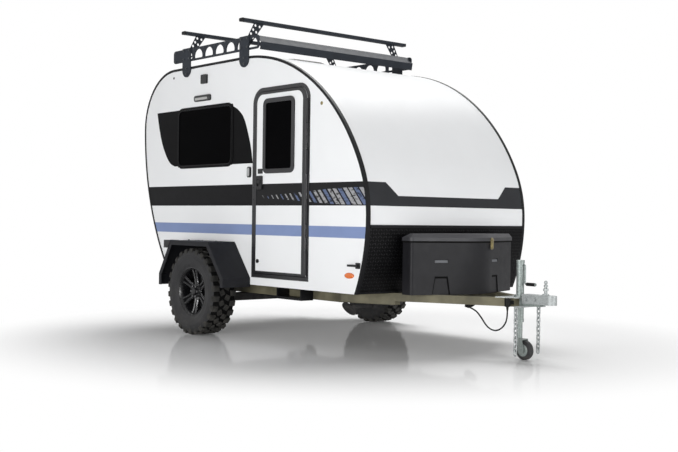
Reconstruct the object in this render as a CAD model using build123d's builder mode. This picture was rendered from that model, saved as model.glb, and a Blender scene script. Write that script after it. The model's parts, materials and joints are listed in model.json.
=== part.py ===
from build123d import *
import os
from math import asin, cos, degrees, pi, radians, sin, tan

# Small single-axle travel trailer: X points forward to the coupler, Y to the left, Z up from the ground.
# All sizes are in millimetres. The right-hand side (-Y) carries the entry door.

os.makedirs("parts", exist_ok=True)

# Clearances
FACE_GAP = 0.3          # between seated faces that are curved or on different bodies
RUNNING_GAP = 6.0       # round a piece that swings or turns
PIN_GAP = 0.5           # radial play of a pin, leg or spindle

# Body outline from the side
BODY_LENGTH = 3210.0
BODY_WIDTH = 1750.0
BODY_BOTTOM = 450.0
BODY_HEIGHT = 1905.0
REAR_TOP_RADIUS = 525.0
REAR_LOWER_RADIUS = 2200.0
FRONT_TOP_RADIUS = 1620.0
FRONT_TOP_END = 25.0    # degrees above level where the big front arc passes into the nose
NOSE_RADIUS = 948.0
LOWER_NOSE_RADIUS = 1430.0

# Panels
WALL_THICKNESS = 30.0
SKIN_THICKNESS = 30.0
FLOOR_THICKNESS = 40.0
MOULDING_THICKNESS = 3.0
MOULDING_LAP = 25.0
MOULDING_FACE = 22.0
GUARD_THICKNESS = 2.0
GUARD_TOP = 950.0

# Side windows
WINDOW_STATION = 1037.0
WINDOW_HEIGHT = 1714.0
WINDOW_LENGTH = 848.0
WINDOW_DEPTH = 508.0
WINDOW_CORNER = 60.0
WINDOW_RIM = 20.0
WINDOW_PROUD = 5.0
GLASS_THICKNESS = 5.0

# Entry door, hinged along its front edge
DOOR_STATION = 2148.0
DOOR_WIDTH = 752.0
DOOR_LOW = 514.0
DOOR_TALL = 1556.0
DOOR_CORNER = 130.0
FRAME_WIDTH = 30.0
FRAME_LAP = 18.0
FRAME_PROUD = 4.0
TRIM_WIDTH = 20.0
TRIM_HINGE_WIDTH = 50.0
TRIM_PROUD = 3.0
LEAF_THICKNESS = 32.0
DOOR_WINDOW_STATION = 2129.0
DOOR_WINDOW_HEIGHT = 1672.0
DOOR_WINDOW_WIDTH = 414.0
DOOR_WINDOW_TALL = 610.0
DOOR_WINDOW_CORNER = 55.0
DOOR_WINDOW_BAND = 36.0
DOOR_WINDOW_PROUD = 10.0
HINGE_OFFSET = 7.0
HINGE_RADIUS = 5.0
HINGE_PLATE = 20.0
HINGE_KNUCKLES = 7
HINGE_GAP = 0.6
HANDLE_STATION = 1878.0
HANDLE_HEIGHT = 1295.0
HANDLE_WIDTH = 80.0
HANDLE_TALL = 110.0
HANDLE_PROUD = 14.0
HANDLE_CORNER = 10.0
HANDLE_CUP_WIDTH = 54.0
HANDLE_CUP_TALL = 62.0
HANDLE_FLOOR = 5.0
PADDLE_WIDTH = 42.0
PADDLE_TALL = 32.0
PADDLE_LIFT = 8.0
PADDLE_PROUD = 12.0
LOCK_STATION = 1862.0
LOCK_HEIGHT = 650.0
LOCK_RADIUS = 16.0
LOCK_PROUD = 10.0

# Wheels and axle
AXLE_STATION = 1237.0
TYRE_RADIUS = 370.0
TYRE_WIDTH = 235.0
WHEEL_GAP = 27.0        # tyre to wall
CROWN_EDGE = 32.0
SHOULDER_EDGE = 8.0
SHOULDER_DROP = 18.0
LUG_HEIGHT = 13.0
LUG_COUNT = 18
TYRE_SIDES = 2 * LUG_COUNT
LUG_SHARE = 0.58         # of the pitch
LUG_ROWS = (  # row's middle across the tread, its width, share of a pitch it is turned
    (-78.0, 58.0, 0.0), (-24.0, 38.0, 0.4), (24.0, 38.0, 0.9), (78.0, 58.0, 0.5),
)
CARCASS_GAP = 2.0        # carcass below the foot of the lugs
RIM_RADIUS = 193.0
RIM_FLANGE = 208.0
RIM_WIDTH = 190.0
RIM_LIP = 6.0
RIM_BARREL = 8.0
SPOKE_COUNT = 6
SPOKE_DISC = 24.0
SPOKE_FACE = 62.0
SPOKE_REACH = 186.0
SPOKE_GAP_MIDDLE = 120.0
SPOKE_GAP_WIDE = 120.0
SPOKE_GAP_DEEP = 96.0
SPOKE_GAP_FLARE = 70.0
CAP_RADIUS = 31.0
CAP_PROUD = 22.0
HUB_RADIUS = 62.0
DRUM_RADIUS = 140.0
DRUM_DEPTH = 50.0
BEARING_DEPTH = 72.0
SPINDLE_RADIUS = 20.0
AXLE_BEAM = 70.0
AXLE_TRAIL = 150.0
ARM_THICKNESS = 30.0
ARM_OUTSET = 125.0

# Fenders: folded sheet, listed from rear foot to front foot
FENDER_SHEET = 5.0
FENDER_LIP = 40.0
FENDER_GAP = 8.0        # tyre to lip
FENDER_TOP = 800.0
FENDER_KNEE = 505.0
FENDER_FOOT_REAR = 405.0
FENDER_FOOT_FRONT = 430.0
FENDER_TOP_REAR = 302.0
FENDER_TOP_FRONT = 285.0
FENDER_KNEE_REAR = 487.0
FENDER_KNEE_FRONT = 515.0
FENDER_LAMP_DROP = 65.0
FENDER_LAMP_REACH = 100.0
FENDER_LAMP_WIDTH = 90.0

# Lamps and small fittings on the body
REAR_LAMP_HEIGHT = 900.0
REAR_LAMP_TALL = 170.0
REAR_LAMP_WIDTH = 75.0
REAR_LAMP_INSET = 160.0
REAR_LAMP_PROUD = 12.0
MARKER_STATION = BODY_LENGTH - 200.0
MARKER_HEIGHT = 586.0
MARKER_LENGTH = 110.0
MARKER_TALL = 42.0
MARKER_CORNER = 14.0
MARKER_PROUD = 16.0
PORCH_STATION = 1011.0
PORCH_LIFT = 88.0        # above the window
PORCH_LENGTH = 249.0
PORCH_TALL = 54.0
PORCH_CORNER = 18.0
PORCH_PROUD = 26.0
PORCH_BEVEL = 8.0
WALL_FITTINGS = (  # station, height, length, tall, corner, proud
    (1032.0, 2222.0, 90.0, 81.0, 10.0, 18.0),
    (1730.0, 1385.0, 40.0, 90.0, 18.0, 18.0),
    (3110.0, 663.0, 44.0, 44.0, 8.0, 12.0),
)
CATCH_REAR = 3019.0
CATCH_FRONT = 3120.0
CATCH_HEIGHT = 663.0
CATCH_TALL = 16.0
CATCH_FOOT = 12.0
CATCH_PROUD = 34.0

# Chassis
RAIL_TALL = 90.0
RAIL_WIDE = 50.0
RAIL_HALF = 690.0
RAIL_REAR = 520.0
TONGUE_START = BODY_LENGTH - 510.0
TONGUE_END = BODY_LENGTH + 717.0
TONGUE_ANGLE = 26.0
TONGUE_TALL = 62.0
TONGUE_STEP = BODY_LENGTH - 110.0   # where the rails grow shallower
CROSS_TALL = 60.0
CROSS_WIDE = 50.0
TONGUE_TUBE_TALL = 78.0
TONGUE_TUBE_HALF = 34.0
TONGUE_TUBE_END = BODY_LENGTH + 903.0

# Coupler
TONGUE_REACH = 1020.0
COUPLER_HALF = 41.0
COUPLER_TOP = 480.0
COUPLER_SKIRT = 412.0
COUPLER_WALL = 6.0
COUPLER_REAR = BODY_LENGTH + 590.0
COUPLER_PLATE = 6.0
BALL_STATION = BODY_LENGTH + 962.0
BALL_SOCKET_RADIUS = 25.6
BALL_SOCKET_DEPTH = 40.0
SOCKET_WALL = 10.0
LATCH_STATION = BODY_LENGTH + 930.0
LATCH_SIDE = (  # ahead of the latch station, above the coupler
    (-24.0, 0.0), (26.0, 0.0), (12.0, 40.0), (16.0, 105.0), (-8.0, 105.0), (-14.0, 46.0),
)
LATCH_HALF = 12.0

# Tongue jack
JACK_STATION = BODY_LENGTH + 695.0
JACK_RADIUS = 28.5
JACK_TOP = 723.0
JACK_BOTTOM = 272.0
JACK_CAP = 8.0
LEG_RADIUS = 21.0
LEG_TOP = 560.0
JACK_FLANGE = 44.0
JACK_FLANGE_THICK = 10.0
CASTER_RADIUS = 70.0
CASTER_WIDTH = 50.0
CASTER_TRAIL = 50.0
FORK_PLATE = 6.0
FORK_CHEEK_REAR = 5.0
FORK_CHEEK_HALF = 18.0
FORK_CHEEK_LOW = 14.0
FORK_CHEEK_HIGH = 12.0
STEM_RADIUS = 12.0
CASTER_PIN = 6.0
CASTER_EDGE = 10.0
CRANK_HEIGHT = 690.0
CRANK_DROP = 140.0
CRANK_STANDOFF = 16.0
CRANK_ROD = 6.0
GRIP_RADIUS = 11.0
GRIP_LENGTH = 84.0
GRIP_LEAD = 14.0

# Tongue tool box with a shallow pointed front
BOX_REAR = BODY_LENGTH + 37.0
BOX_HALF = 559.0
BOX_SIDE = 94.0
BOX_NOSE = 285.0
BOX_NOSE_RADIUS = 500.0
BOX_TALL = 400.0
BOX_WALL = 10.0
BOX_CORNER = 25.0
LID_TALL = 55.0
LID_EDGE = 26.0
LID_SLOPE = 60.0
LID_TAPER = 40.0
LID_LAP = 8.0
BOX_RECESSES = (-325.0, 235.0)
BOX_RECESS_DEPTH = 7.0
BOX_ARCH_FOOT = 153.0
BOX_ARCH_TOP = 107.0
BOX_ARCH_TALL = 137.0
BOX_GRIP_LOW = 238.0
BOX_GRIP_WIDTH = 112.0
BOX_GRIP_TALL = 26.0
BOX_HINGE_RADIUS = 6.0
BOX_HINGES = ((-430.0, 120.0), (-150.0, 120.0), (150.0, 120.0), (430.0, 120.0))  # middle, length
BOX_LATCH_Y = 155.0
BOX_LATCH_WIDTH = 38.0
BOX_LATCH_TALL = 90.0
BOX_LATCH_PROUD = 14.0
BOX_LATCH_CORNER = 6.0

# Roof rack of drilled plates
RACK_PLATE = 8.0
TRUSS_REAR = 510.0
TRUSS_FRONT = 1838.0
TRUSS_LOW = 2405.0
TRUSS_TALL = 115.0
TRUSS_HOLES = 8
TRUSS_HOLE_WIDTH = 124.0
TRUSS_HOLE_TALL = 78.0
TRUSS_HOLE_CORNER = 12.0
POST_STATIONS = (740.0, 1637.0)
POST_WIDTH = 135.0
POST_LOW = 2265.0
POST_RISE = 5.0
STRUT_WIDTH = 100.0
STRUT_TOP_HALF = 705.0
STRUT_HOLE = 13.0
STRUT_HOLES = 4
STRUT_HOLE_SIDES = 6
BAR_HALF = 935.0
BAR_RISE = 121.0         # truss to underside of bar
BAR_WIDE = 60.0
BAR_TALL = 28.0
BAR_LEAD = 28.0
FAIRING_SHEET = 5.0
FAIRING_FOLD = (  # ahead of the truss, below its top
    (-100.0, 0.0), (-55.0, 0.0), (20.0, 62.0), (8.0, 125.0),
)

# Roof vent
VENT_SHARE = 0.6117      # of the roof's flat stretch, from its rear
VENT_OPENING = 356.0
VENT_CURB = 22.0
VENT_RISE = 25.0
VENT_LID_TALL = 40.0
VENT_LID_LAP = 14.0
VENT_LID_CORNER = 30.0
VENT_LID_TAPER = 25.0
VENT_HINGE = 5.0
VENT_HINGE_PIN = 4.5

# Stabilizer legs, stowed level
STABILIZERS = (("front", BODY_LENGTH - 410.0), ("rear", 640.0))
STABILIZER_PIVOT = 440.0
STABILIZER_DROP = 27.0
STABILIZER_LENGTH = 250.0
STABILIZER_LEG = 30.0
STABILIZER_FOOT = 65.0
STABILIZER_FOOT_TILT = 50.0   # outer edge up
STABILIZER_FOOT_THICK = 8.0
STABILIZER_PIN = 6.0
BRACKET_SHEET = 6.0
BRACKET_OUT = 45.0
BRACKET_IN = 30.0
BRACKET_CHEEK = 20.0

# Entry step bracket
STEP_REAR = 2038.0
STEP_FRONT = 2360.0
STEP_REACH = 815.0
STEP_SHEET = 12.0
STEP_LOW = 352.0
STEP_TREAD = 20.0
STEP_SETBACK = 20.0

# Safety chains on a bar under the tongue tube
CHAIN_WIRE = 8.0
CHAIN_INSIDE = 34.0
CHAIN_OPENING = 13.0
CHAIN_PLAY = 2.0         # slack left in each link by its neighbour
CHAIN_LINKS = 10
CHAIN_HALF = 128.0
CHAIN_STATION = BODY_LENGTH + 765.0
EYE_BAR_TALL = 12.0
EYE_DROP = 40.0
EYE_HOLE = 9.0

# Power cable
CABLE_DIAMETER = 11.0
CABLE_ROUTE = (  # ahead of the body, half-width to the right, height
    (410.0, 237.0, 370.0),
    (462.0, 222.0, 354.0),
    (505.0, 205.0, 300.0),
    (542.0, 188.0, 238.0),
    (590.0, 172.0, 208.0),
    (640.0, 160.0, 216.0),
    (682.0, 153.0, 253.0),
    (705.0, 150.0, 305.0),
    (705.0, 150.0, 362.0),
)
PLUG_RADIUS = 22.0
PLUG_TALL = 88.0
GLAND_RADIUS = 9.0
GLAND_LENGTH = 30.0
CLIP_HALF = 8.0
PLUG_NECK = 25.0
PLUG_SHOULDER = 30.0
PLUG_NECK_WALL = 1.0
PLUG_NECK_FLARE = 4.0
HOLDER_LIFT = 44.0
HOLDER_TALL = 26.0
HOLDER_REAR = 25.0

# Places worked out from the sizes above
OVERALL_LENGTH = BODY_LENGTH + TONGUE_REACH
REAR = -OVERALL_LENGTH / 2
FRONT = REAR + BODY_LENGTH
BODY_TOP = BODY_BOTTOM + BODY_HEIGHT
HALF_BODY = BODY_WIDTH / 2
INNER_HALF = HALF_BODY - WALL_THICKNESS
PANEL_INSET = MOULDING_THICKNESS + FACE_GAP
ROOF_TOP = BODY_TOP - PANEL_INSET
RAIL_BOTTOM = BODY_BOTTOM - RAIL_TALL
TONGUE_BOTTOM = BODY_BOTTOM - TONGUE_TALL
REAR_LEVEL = BODY_TOP - REAR_TOP_RADIUS
FRONT_STEP = FRONT_TOP_RADIUS - NOSE_RADIUS
NOSE_LEVEL = BODY_TOP - FRONT_TOP_RADIUS + FRONT_STEP * sin(radians(FRONT_TOP_END))
ROOF_FRONT = FRONT - NOSE_RADIUS - FRONT_STEP * cos(radians(FRONT_TOP_END))
ROOF_REAR = REAR + REAR_TOP_RADIUS
VENT_X = ROOF_REAR + VENT_SHARE * (ROOF_FRONT - ROOF_REAR)
DOOR_SURFACE = HALF_BODY + FRAME_PROUD
HINGE_X = REAR + DOOR_STATION + DOOR_WIDTH / 2 - FRAME_WIDTH - RUNNING_GAP / 2
HINGE_Y = -(DOOR_SURFACE + TRIM_PROUD + HINGE_OFFSET)
AXLE_X = REAR + AXLE_STATION
WHEEL_MID = HALF_BODY + WHEEL_GAP + TYRE_WIDTH / 2
FENDER_OUTSIDE = WHEEL_MID + TYRE_WIDTH / 2 + FENDER_GAP + FENDER_SHEET
TONGUE_TUBE_START = JACK_STATION + JACK_FLANGE + RUNNING_GAP
TUBE_TOP = COUPLER_TOP - COUPLER_WALL - FACE_GAP
TUBE_BOTTOM = TUBE_TOP - TONGUE_TUBE_TALL


def at(station):
    """X of a point given by its distance ahead of the rearmost point."""
    return REAR + station


def keep(piece, name):
    """Label a finished piece and write it to its own file."""
    piece.part.label = name
    export_step(piece.part, f"parts/{name}.step")


def block(low, high, mode=Mode.ADD):
    """Plain block between two opposite corners, in the part that is being built."""
    with Locations(tuple((a + b) / 2 for a, b in zip(low, high))):
        Box(*(b - a for a, b in zip(low, high)), mode=mode)


def body_outline(inset):
    """Side outline of the body drawn that far inside its outermost line, flat along the bottom."""
    lower_rear = REAR_LOWER_RADIUS - inset
    lower_nose = LOWER_NOSE_RADIUS - inset
    rear_sweep = asin((REAR_LEVEL - BODY_BOTTOM) / lower_rear)
    nose_sweep = asin((NOSE_LEVEL - BODY_BOTTOM) / lower_nose)
    rear_foot = (REAR + REAR_LOWER_RADIUS - lower_rear * cos(rear_sweep), BODY_BOTTOM)
    nose_foot = (FRONT - LOWER_NOSE_RADIUS + lower_nose * cos(nose_sweep), BODY_BOTTOM)
    nose_centre = (FRONT - NOSE_RADIUS, NOSE_LEVEL)
    front_centre = (ROOF_FRONT, BODY_TOP - FRONT_TOP_RADIUS)
    with BuildSketch() as outline:
        with BuildLine():
            CenterArc((REAR + REAR_LOWER_RADIUS, REAR_LEVEL), lower_rear, 180, degrees(rear_sweep))
            Line(rear_foot, nose_foot)
            CenterArc((FRONT - LOWER_NOSE_RADIUS, NOSE_LEVEL), lower_nose, -degrees(nose_sweep),
                      degrees(nose_sweep))
            CenterArc(nose_centre, NOSE_RADIUS - inset, 0, FRONT_TOP_END)
            CenterArc(front_centre, FRONT_TOP_RADIUS - inset, FRONT_TOP_END, 90 - FRONT_TOP_END)
            Line((ROOF_FRONT, BODY_TOP - inset), (ROOF_REAR, BODY_TOP - inset))
            CenterArc((ROOF_REAR, REAR_LEVEL), REAR_TOP_RADIUS - inset, 90, 90)
        make_face()
    return outline.sketch


def outline_band(outer, inner):
    """Band between two insets of the body outline, open along the bottom."""
    with BuildSketch() as band:
        add(body_outline(outer))
        add(body_outline(inner), mode=Mode.SUBTRACT)
    return band.sketch


def window_outline(grow):
    """Rounded outline of a side window, grown all round by that much."""
    with BuildSketch() as shape:
        with Locations((at(WINDOW_STATION), WINDOW_HEIGHT)):
            RectangleRounded(WINDOW_LENGTH + 2 * grow, WINDOW_DEPTH + 2 * grow, WINDOW_CORNER + grow)
    return shape.sketch


def door_outline(inset, hinge_inset=None):
    """Door outline with round top corners, set in from the frame's edge, at the hinge by its own amount."""
    front = inset if hinge_inset is None else hinge_inset
    with BuildSketch() as shape:
        with Locations((at(DOOR_STATION) + (inset - front) / 2, DOOR_LOW + DOOR_TALL / 2)):
            Rectangle(DOOR_WIDTH - inset - front, DOOR_TALL - 2 * inset)
        fillet(shape.vertices().group_by(Axis.Y)[-1], DOOR_CORNER - inset)
    return shape.sketch


def door_window_outline(inset):
    """Rounded outline of the door window, set in from its frame's outer edge."""
    with BuildSketch() as shape:
        with Locations((at(DOOR_WINDOW_STATION), DOOR_WINDOW_HEIGHT)):
            RectangleRounded(DOOR_WINDOW_WIDTH - 2 * inset, DOOR_WINDOW_TALL - 2 * inset,
                             DOOR_WINDOW_CORNER - inset)
    return shape.sketch


def right_side(distance):
    """Plane facing right, that far from the middle, with X along the trailer and Z up."""
    return Plane.XZ.offset(distance)


def sheet_section(points, thickness):
    """Section of a folded sheet whose outer face runs through these points."""
    with BuildSketch() as section:
        with BuildLine():
            Polyline(*points)
            offset(amount=thickness, side=Side.RIGHT, kind=Kind.INTERSECTION)
        make_face()
    return section.sketch


# Floor and walls
with BuildPart() as floor_panel:
    with BuildSketch(Plane.XZ):
        add(body_outline(PANEL_INSET + SKIN_THICKNESS + FACE_GAP))
        with Locations((0, BODY_BOTTOM + FLOOR_THICKNESS / 2)):
            Rectangle(OVERALL_LENGTH, FLOOR_THICKNESS, mode=Mode.INTERSECT)
    extrude(amount=INNER_HALF, both=True)
keep(floor_panel, "floor_panel")


def side_wall(openings):
    """Right-hand wall with these outlines cut through it."""
    with BuildPart() as wall:
        with BuildSketch(right_side(INNER_HALF)):
            add(body_outline(PANEL_INSET))
            for opening in openings:
                add(opening, mode=Mode.SUBTRACT)
        extrude(amount=WALL_THICKNESS)
    return wall.part


with BuildPart() as wall_right:
    add(side_wall([window_outline(0), door_outline(FRAME_LAP)]))
keep(wall_right, "wall_right")

with BuildPart() as wall_left:
    mirror(side_wall([window_outline(0)]), about=Plane.XZ)
keep(wall_left, "wall_left")

# Roof, front and rear skins between the walls, parted where the flat roof ends
roof_middle = (ROOF_REAR + ROOF_FRONT) / 2
SKINS = (  # name, rear edge, front edge, how the flat roof's span is used
    ("roof_panel", REAR, FRONT, Mode.INTERSECT),
    ("rear_panel", REAR, roof_middle, Mode.SUBTRACT),
    ("front_panel", roof_middle, FRONT, Mode.SUBTRACT),
)
for name, rear_edge, front_edge, roof_use in SKINS:
    with BuildPart() as skin:
        with BuildSketch(Plane.XZ):
            add(outline_band(PANEL_INSET, PANEL_INSET + SKIN_THICKNESS))
            with Locations((roof_middle, BODY_TOP)):
                Rectangle(ROOF_FRONT - ROOF_REAR, 4 * SKIN_THICKNESS, mode=roof_use)
            with Locations(((rear_edge + front_edge) / 2, BODY_TOP / 2)):
                Rectangle(front_edge - rear_edge, BODY_TOP, mode=Mode.INTERSECT)
        extrude(amount=INNER_HALF, both=True)
        if name == "roof_panel":
            with Locations((VENT_X, 0, ROOF_TOP)):
                Box(VENT_OPENING, VENT_OPENING, 3 * SKIN_THICKNESS, mode=Mode.SUBTRACT)
    keep(skin, name)

# Corner mouldings wrap the edge of each wall
with BuildPart() as corner_mouldings:
    with BuildSketch(right_side(HALF_BODY - MOULDING_LAP)):
        add(outline_band(0, MOULDING_THICKNESS))
    extrude(amount=MOULDING_LAP + MOULDING_THICKNESS)
    with BuildSketch(right_side(HALF_BODY)):
        add(outline_band(0, MOULDING_FACE))
    extrude(amount=MOULDING_THICKNESS)
    mirror(about=Plane.XZ)
keep(corner_mouldings, "corner_mouldings")

# Stone guard over the lower front
with BuildPart() as front_guard:
    with BuildSketch(Plane.XZ):
        add(outline_band(MOULDING_THICKNESS - GUARD_THICKNESS, MOULDING_THICKNESS))
        with Locations((FRONT, (BODY_BOTTOM + GUARD_TOP) / 2)):
            Rectangle(BODY_LENGTH, GUARD_TOP - BODY_BOTTOM, mode=Mode.INTERSECT)
    extrude(amount=HALF_BODY - MOULDING_LAP - FACE_GAP, both=True)
keep(front_guard, "front_guard")

# Side windows: a clamped rim through each wall and a tinted pane
with BuildPart() as window_frames:
    with BuildSketch(right_side(HALF_BODY)):
        add(window_outline(WINDOW_RIM))
        add(window_outline(-WINDOW_RIM / 2), mode=Mode.SUBTRACT)
    extrude(amount=WINDOW_PROUD)
    with BuildSketch(right_side(INNER_HALF)):
        add(window_outline(-FACE_GAP))
        add(window_outline(-WINDOW_RIM / 2), mode=Mode.SUBTRACT)
    extrude(amount=WALL_THICKNESS)
    mirror(about=Plane.XZ)
keep(window_frames, "window_frames")

with BuildPart() as window_glass:
    with BuildSketch(right_side(HALF_BODY - GLASS_THICKNESS)):
        add(window_outline(-WINDOW_RIM / 2 - FACE_GAP))
    extrude(amount=GLASS_THICKNESS)
    mirror(about=Plane.XZ)
keep(window_glass, "window_glass")

# Entry door and its frame, joined by a long hinge whose knuckles alternate
knuckle_span = (DOOR_TALL - DOOR_CORNER - FRAME_WIDTH - TRIM_WIDTH) / HINGE_KNUCKLES


def hinge_knuckles(first, plate_start, plate_end, surface):
    """Every second knuckle of the door hinge with the plate that fixes it to its own side."""
    for index in range(first, HINGE_KNUCKLES, 2):
        low = DOOR_LOW + FRAME_WIDTH + TRIM_WIDTH + index * knuckle_span
        length = knuckle_span - HINGE_GAP
        with Locations((HINGE_X, HINGE_Y, low + length / 2)):
            Cylinder(HINGE_RADIUS, length)
        block((HINGE_X + plate_start, HINGE_Y, low), (HINGE_X + plate_end, -surface, low + length))


with BuildPart() as door_frame:
    with BuildSketch(right_side(HALF_BODY)):
        add(door_outline(0))
        add(door_outline(FRAME_WIDTH), mode=Mode.SUBTRACT)
    extrude(amount=FRAME_PROUD)
    with BuildSketch(right_side(INNER_HALF)):
        add(door_outline(FRAME_LAP + FACE_GAP))
        add(door_outline(FRAME_WIDTH), mode=Mode.SUBTRACT)
    extrude(amount=WALL_THICKNESS)
    hinge_knuckles(0, 0, HINGE_PLATE, DOOR_SURFACE)
keep(door_frame, "door_frame")

leaf_inset = FRAME_WIDTH + RUNNING_GAP
window_cut = DOOR_WINDOW_BAND - 2 * WINDOW_PROUD

with BuildPart() as door_leaf:
    with BuildSketch(right_side(DOOR_SURFACE - LEAF_THICKNESS)):
        add(door_outline(leaf_inset))
        add(door_window_outline(window_cut), mode=Mode.SUBTRACT)
    extrude(amount=LEAF_THICKNESS)
keep(door_leaf, "door_leaf")

with BuildPart() as door_trim:
    with BuildSketch(right_side(DOOR_SURFACE)):
        add(door_outline(leaf_inset))
        add(door_outline(leaf_inset + TRIM_WIDTH, leaf_inset + TRIM_HINGE_WIDTH), mode=Mode.SUBTRACT)
    extrude(amount=TRIM_PROUD)
    with BuildSketch(right_side(DOOR_SURFACE)):
        add(door_window_outline(0))
        add(door_window_outline(DOOR_WINDOW_BAND), mode=Mode.SUBTRACT)
    extrude(amount=DOOR_WINDOW_PROUD)
    hinge_knuckles(1, -HINGE_PLATE, 0, DOOR_SURFACE + TRIM_PROUD)
keep(door_trim, "door_trim")

with BuildPart() as door_glass:
    with BuildSketch(right_side(DOOR_SURFACE - GLASS_THICKNESS)):
        add(door_window_outline(window_cut + FACE_GAP))
    extrude(amount=GLASS_THICKNESS)
keep(door_glass, "door_glass")

with BuildPart() as door_handle:
    with BuildSketch(right_side(DOOR_SURFACE)):
        with Locations((at(HANDLE_STATION), HANDLE_HEIGHT)):
            RectangleRounded(HANDLE_WIDTH, HANDLE_TALL, HANDLE_CORNER)
    extrude(amount=HANDLE_PROUD)
    with BuildSketch(right_side(DOOR_SURFACE + HANDLE_FLOOR)):
        with Locations((at(HANDLE_STATION), HANDLE_HEIGHT)):
            RectangleRounded(HANDLE_CUP_WIDTH, HANDLE_CUP_TALL, HANDLE_CORNER)
    extrude(amount=HANDLE_PROUD, mode=Mode.SUBTRACT)
    with BuildSketch(right_side(DOOR_SURFACE + HANDLE_FLOOR)):
        with Locations((at(HANDLE_STATION), HANDLE_HEIGHT + PADDLE_LIFT)):
            RectangleRounded(PADDLE_WIDTH, PADDLE_TALL, HANDLE_CORNER)
    extrude(amount=PADDLE_PROUD)
    with BuildSketch(right_side(DOOR_SURFACE)):
        with Locations((at(LOCK_STATION), LOCK_HEIGHT)):
            Circle(LOCK_RADIUS)
    extrude(amount=LOCK_PROUD)
keep(door_handle, "door_handle")


# Wheels: lugged tyre, spoked rim with its drum
def wheel_axis():
    """Axis of the axle, across the trailer."""
    return Axis((AXLE_X, 0, TYRE_RADIUS), (0, -1, 0))


def wheel_section():
    """Plane through the right wheel's axis: X outward along the axle, Y upward."""
    return Plane(origin=(AXLE_X, -WHEEL_MID, TYRE_RADIUS), x_dir=(0, -1, 0), z_dir=(-1, 0, 0))


half_tyre = TYRE_WIDTH / 2
crown = TYRE_RADIUS - LUG_HEIGHT
crown_half = half_tyre - CROWN_EDGE
shoulder = crown - SHOULDER_DROP
shoulder_half = half_tyre - SHOULDER_EDGE
bead_half = RIM_WIDTH / 2 - RIM_LIP - FACE_GAP
bead_top = RIM_FLANGE + RIM_LIP
widest = (bead_top + shoulder) / 2


def lug_ring(turned):
    """Side outline of one row of tread lugs, as a toothed wheel."""
    pitch = 2 * pi / LUG_COUNT
    corners = []
    for index in range(LUG_COUNT):
        for share, radius in ((0, crown), (0, TYRE_RADIUS), (LUG_SHARE, TYRE_RADIUS), (LUG_SHARE, crown)):
            turn = (index + turned + share) * pitch
            corners.append((AXLE_X + radius * sin(turn), TYRE_RADIUS + radius * cos(turn)))
    with BuildSketch() as ring:
        Polygon(*corners, align=None)
        with Locations((AXLE_X, TYRE_RADIUS)):
            Circle(shoulder - 2 * LUG_HEIGHT, mode=Mode.SUBTRACT)
    return ring.sketch


def tyre_ring(across, reach):
    """Corners of a many-sided ring of the tyre, that far outward from the wheel's middle."""
    turns = [2 * pi * side / TYRE_SIDES for side in range(TYRE_SIDES)]
    return [Vector(AXLE_X + reach * sin(turn), -WHEEL_MID - across, TYRE_RADIUS + reach * cos(turn))
            for turn in turns]


bore = (RIM_RADIUS + FACE_GAP) / cos(pi / TYRE_SIDES)
half_section = (  # outward from the wheel's middle, reach from the axle
    (bead_half, bore), (bead_half, bead_top), (half_tyre, widest), (shoulder_half, shoulder),
    (crown_half, crown - CARCASS_GAP),
)
rings = [tyre_ring(across, reach) for across, reach in half_section]
rings += [tyre_ring(-across, reach) for across, reach in reversed(half_section)]
with BuildPart() as tyre_right:
    flats = []
    for ring, following in zip(rings, rings[1:] + rings[:1]):
        for side in range(TYRE_SIDES):
            flats.append(Face(Wire.make_polygon(
                [ring[side - 1], ring[side], following[side], following[side - 1]])))
    add(Solid(Shell(flats)))
    for middle, width, turned in LUG_ROWS:
        with BuildSketch(right_side(WHEEL_MID + middle - width / 2)):
            add(lug_ring(turned))
        extrude(amount=width)
keep(tyre_right, "tyre_right")

with BuildPart() as rim_right:
    with BuildSketch(wheel_section()):
        half_rim = RIM_WIDTH / 2
        seat_half = half_rim - RIM_LIP
        with BuildLine():
            Polyline((-half_rim, RIM_FLANGE), (-seat_half, RIM_FLANGE), (-seat_half, RIM_RADIUS),
                     (seat_half, RIM_RADIUS), (seat_half, RIM_FLANGE), (half_rim, RIM_FLANGE),
                     (half_rim, RIM_RADIUS - RIM_BARREL), (-half_rim, RIM_RADIUS - RIM_BARREL), close=True)
        make_face()
    revolve(axis=wheel_axis())
    with BuildSketch(right_side(WHEEL_MID + SPOKE_FACE - SPOKE_DISC)):
        with Locations((AXLE_X, TYRE_RADIUS)):
            Circle(SPOKE_REACH)
            with PolarLocations(SPOKE_GAP_MIDDLE, SPOKE_COUNT, start_angle=180 / SPOKE_COUNT):
                Trapezoid(SPOKE_GAP_WIDE, SPOKE_GAP_DEEP, SPOKE_GAP_FLARE, rotation=90, mode=Mode.SUBTRACT)
    extrude(amount=SPOKE_DISC)
    HUB_STEPS = (  # radius, start and end outward from the wheel's middle, how it is used
        (DRUM_RADIUS, -SPOKE_FACE, DRUM_DEPTH - SPOKE_FACE, Mode.ADD),
        (HUB_RADIUS, -SPOKE_FACE, SPOKE_FACE, Mode.ADD),
        (CAP_RADIUS, 0, SPOKE_FACE + CAP_PROUD, Mode.ADD),
        (SPINDLE_RADIUS + PIN_GAP, -SPOKE_FACE, BEARING_DEPTH - SPOKE_FACE, Mode.SUBTRACT),
    )
    for radius, start, end, use in HUB_STEPS:
        with BuildSketch(right_side(WHEEL_MID + start)):
            with Locations((AXLE_X, TYRE_RADIUS)):
                Circle(radius)
        extrude(amount=end - start, mode=use)
keep(rim_right, "rim_right")

for right_piece, name in ((tyre_right, "tyre_left"), (rim_right, "rim_left")):
    with BuildPart() as left_piece:
        mirror(right_piece.part, about=Plane.XZ)
    keep(left_piece, name)

# Axle beam under the rails and the trailing arms with their spindles
beam_x = AXLE_X + AXLE_TRAIL
beam_z = RAIL_BOTTOM - AXLE_BEAM / 2
arm_inner = RAIL_HALF + ARM_OUTSET

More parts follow.
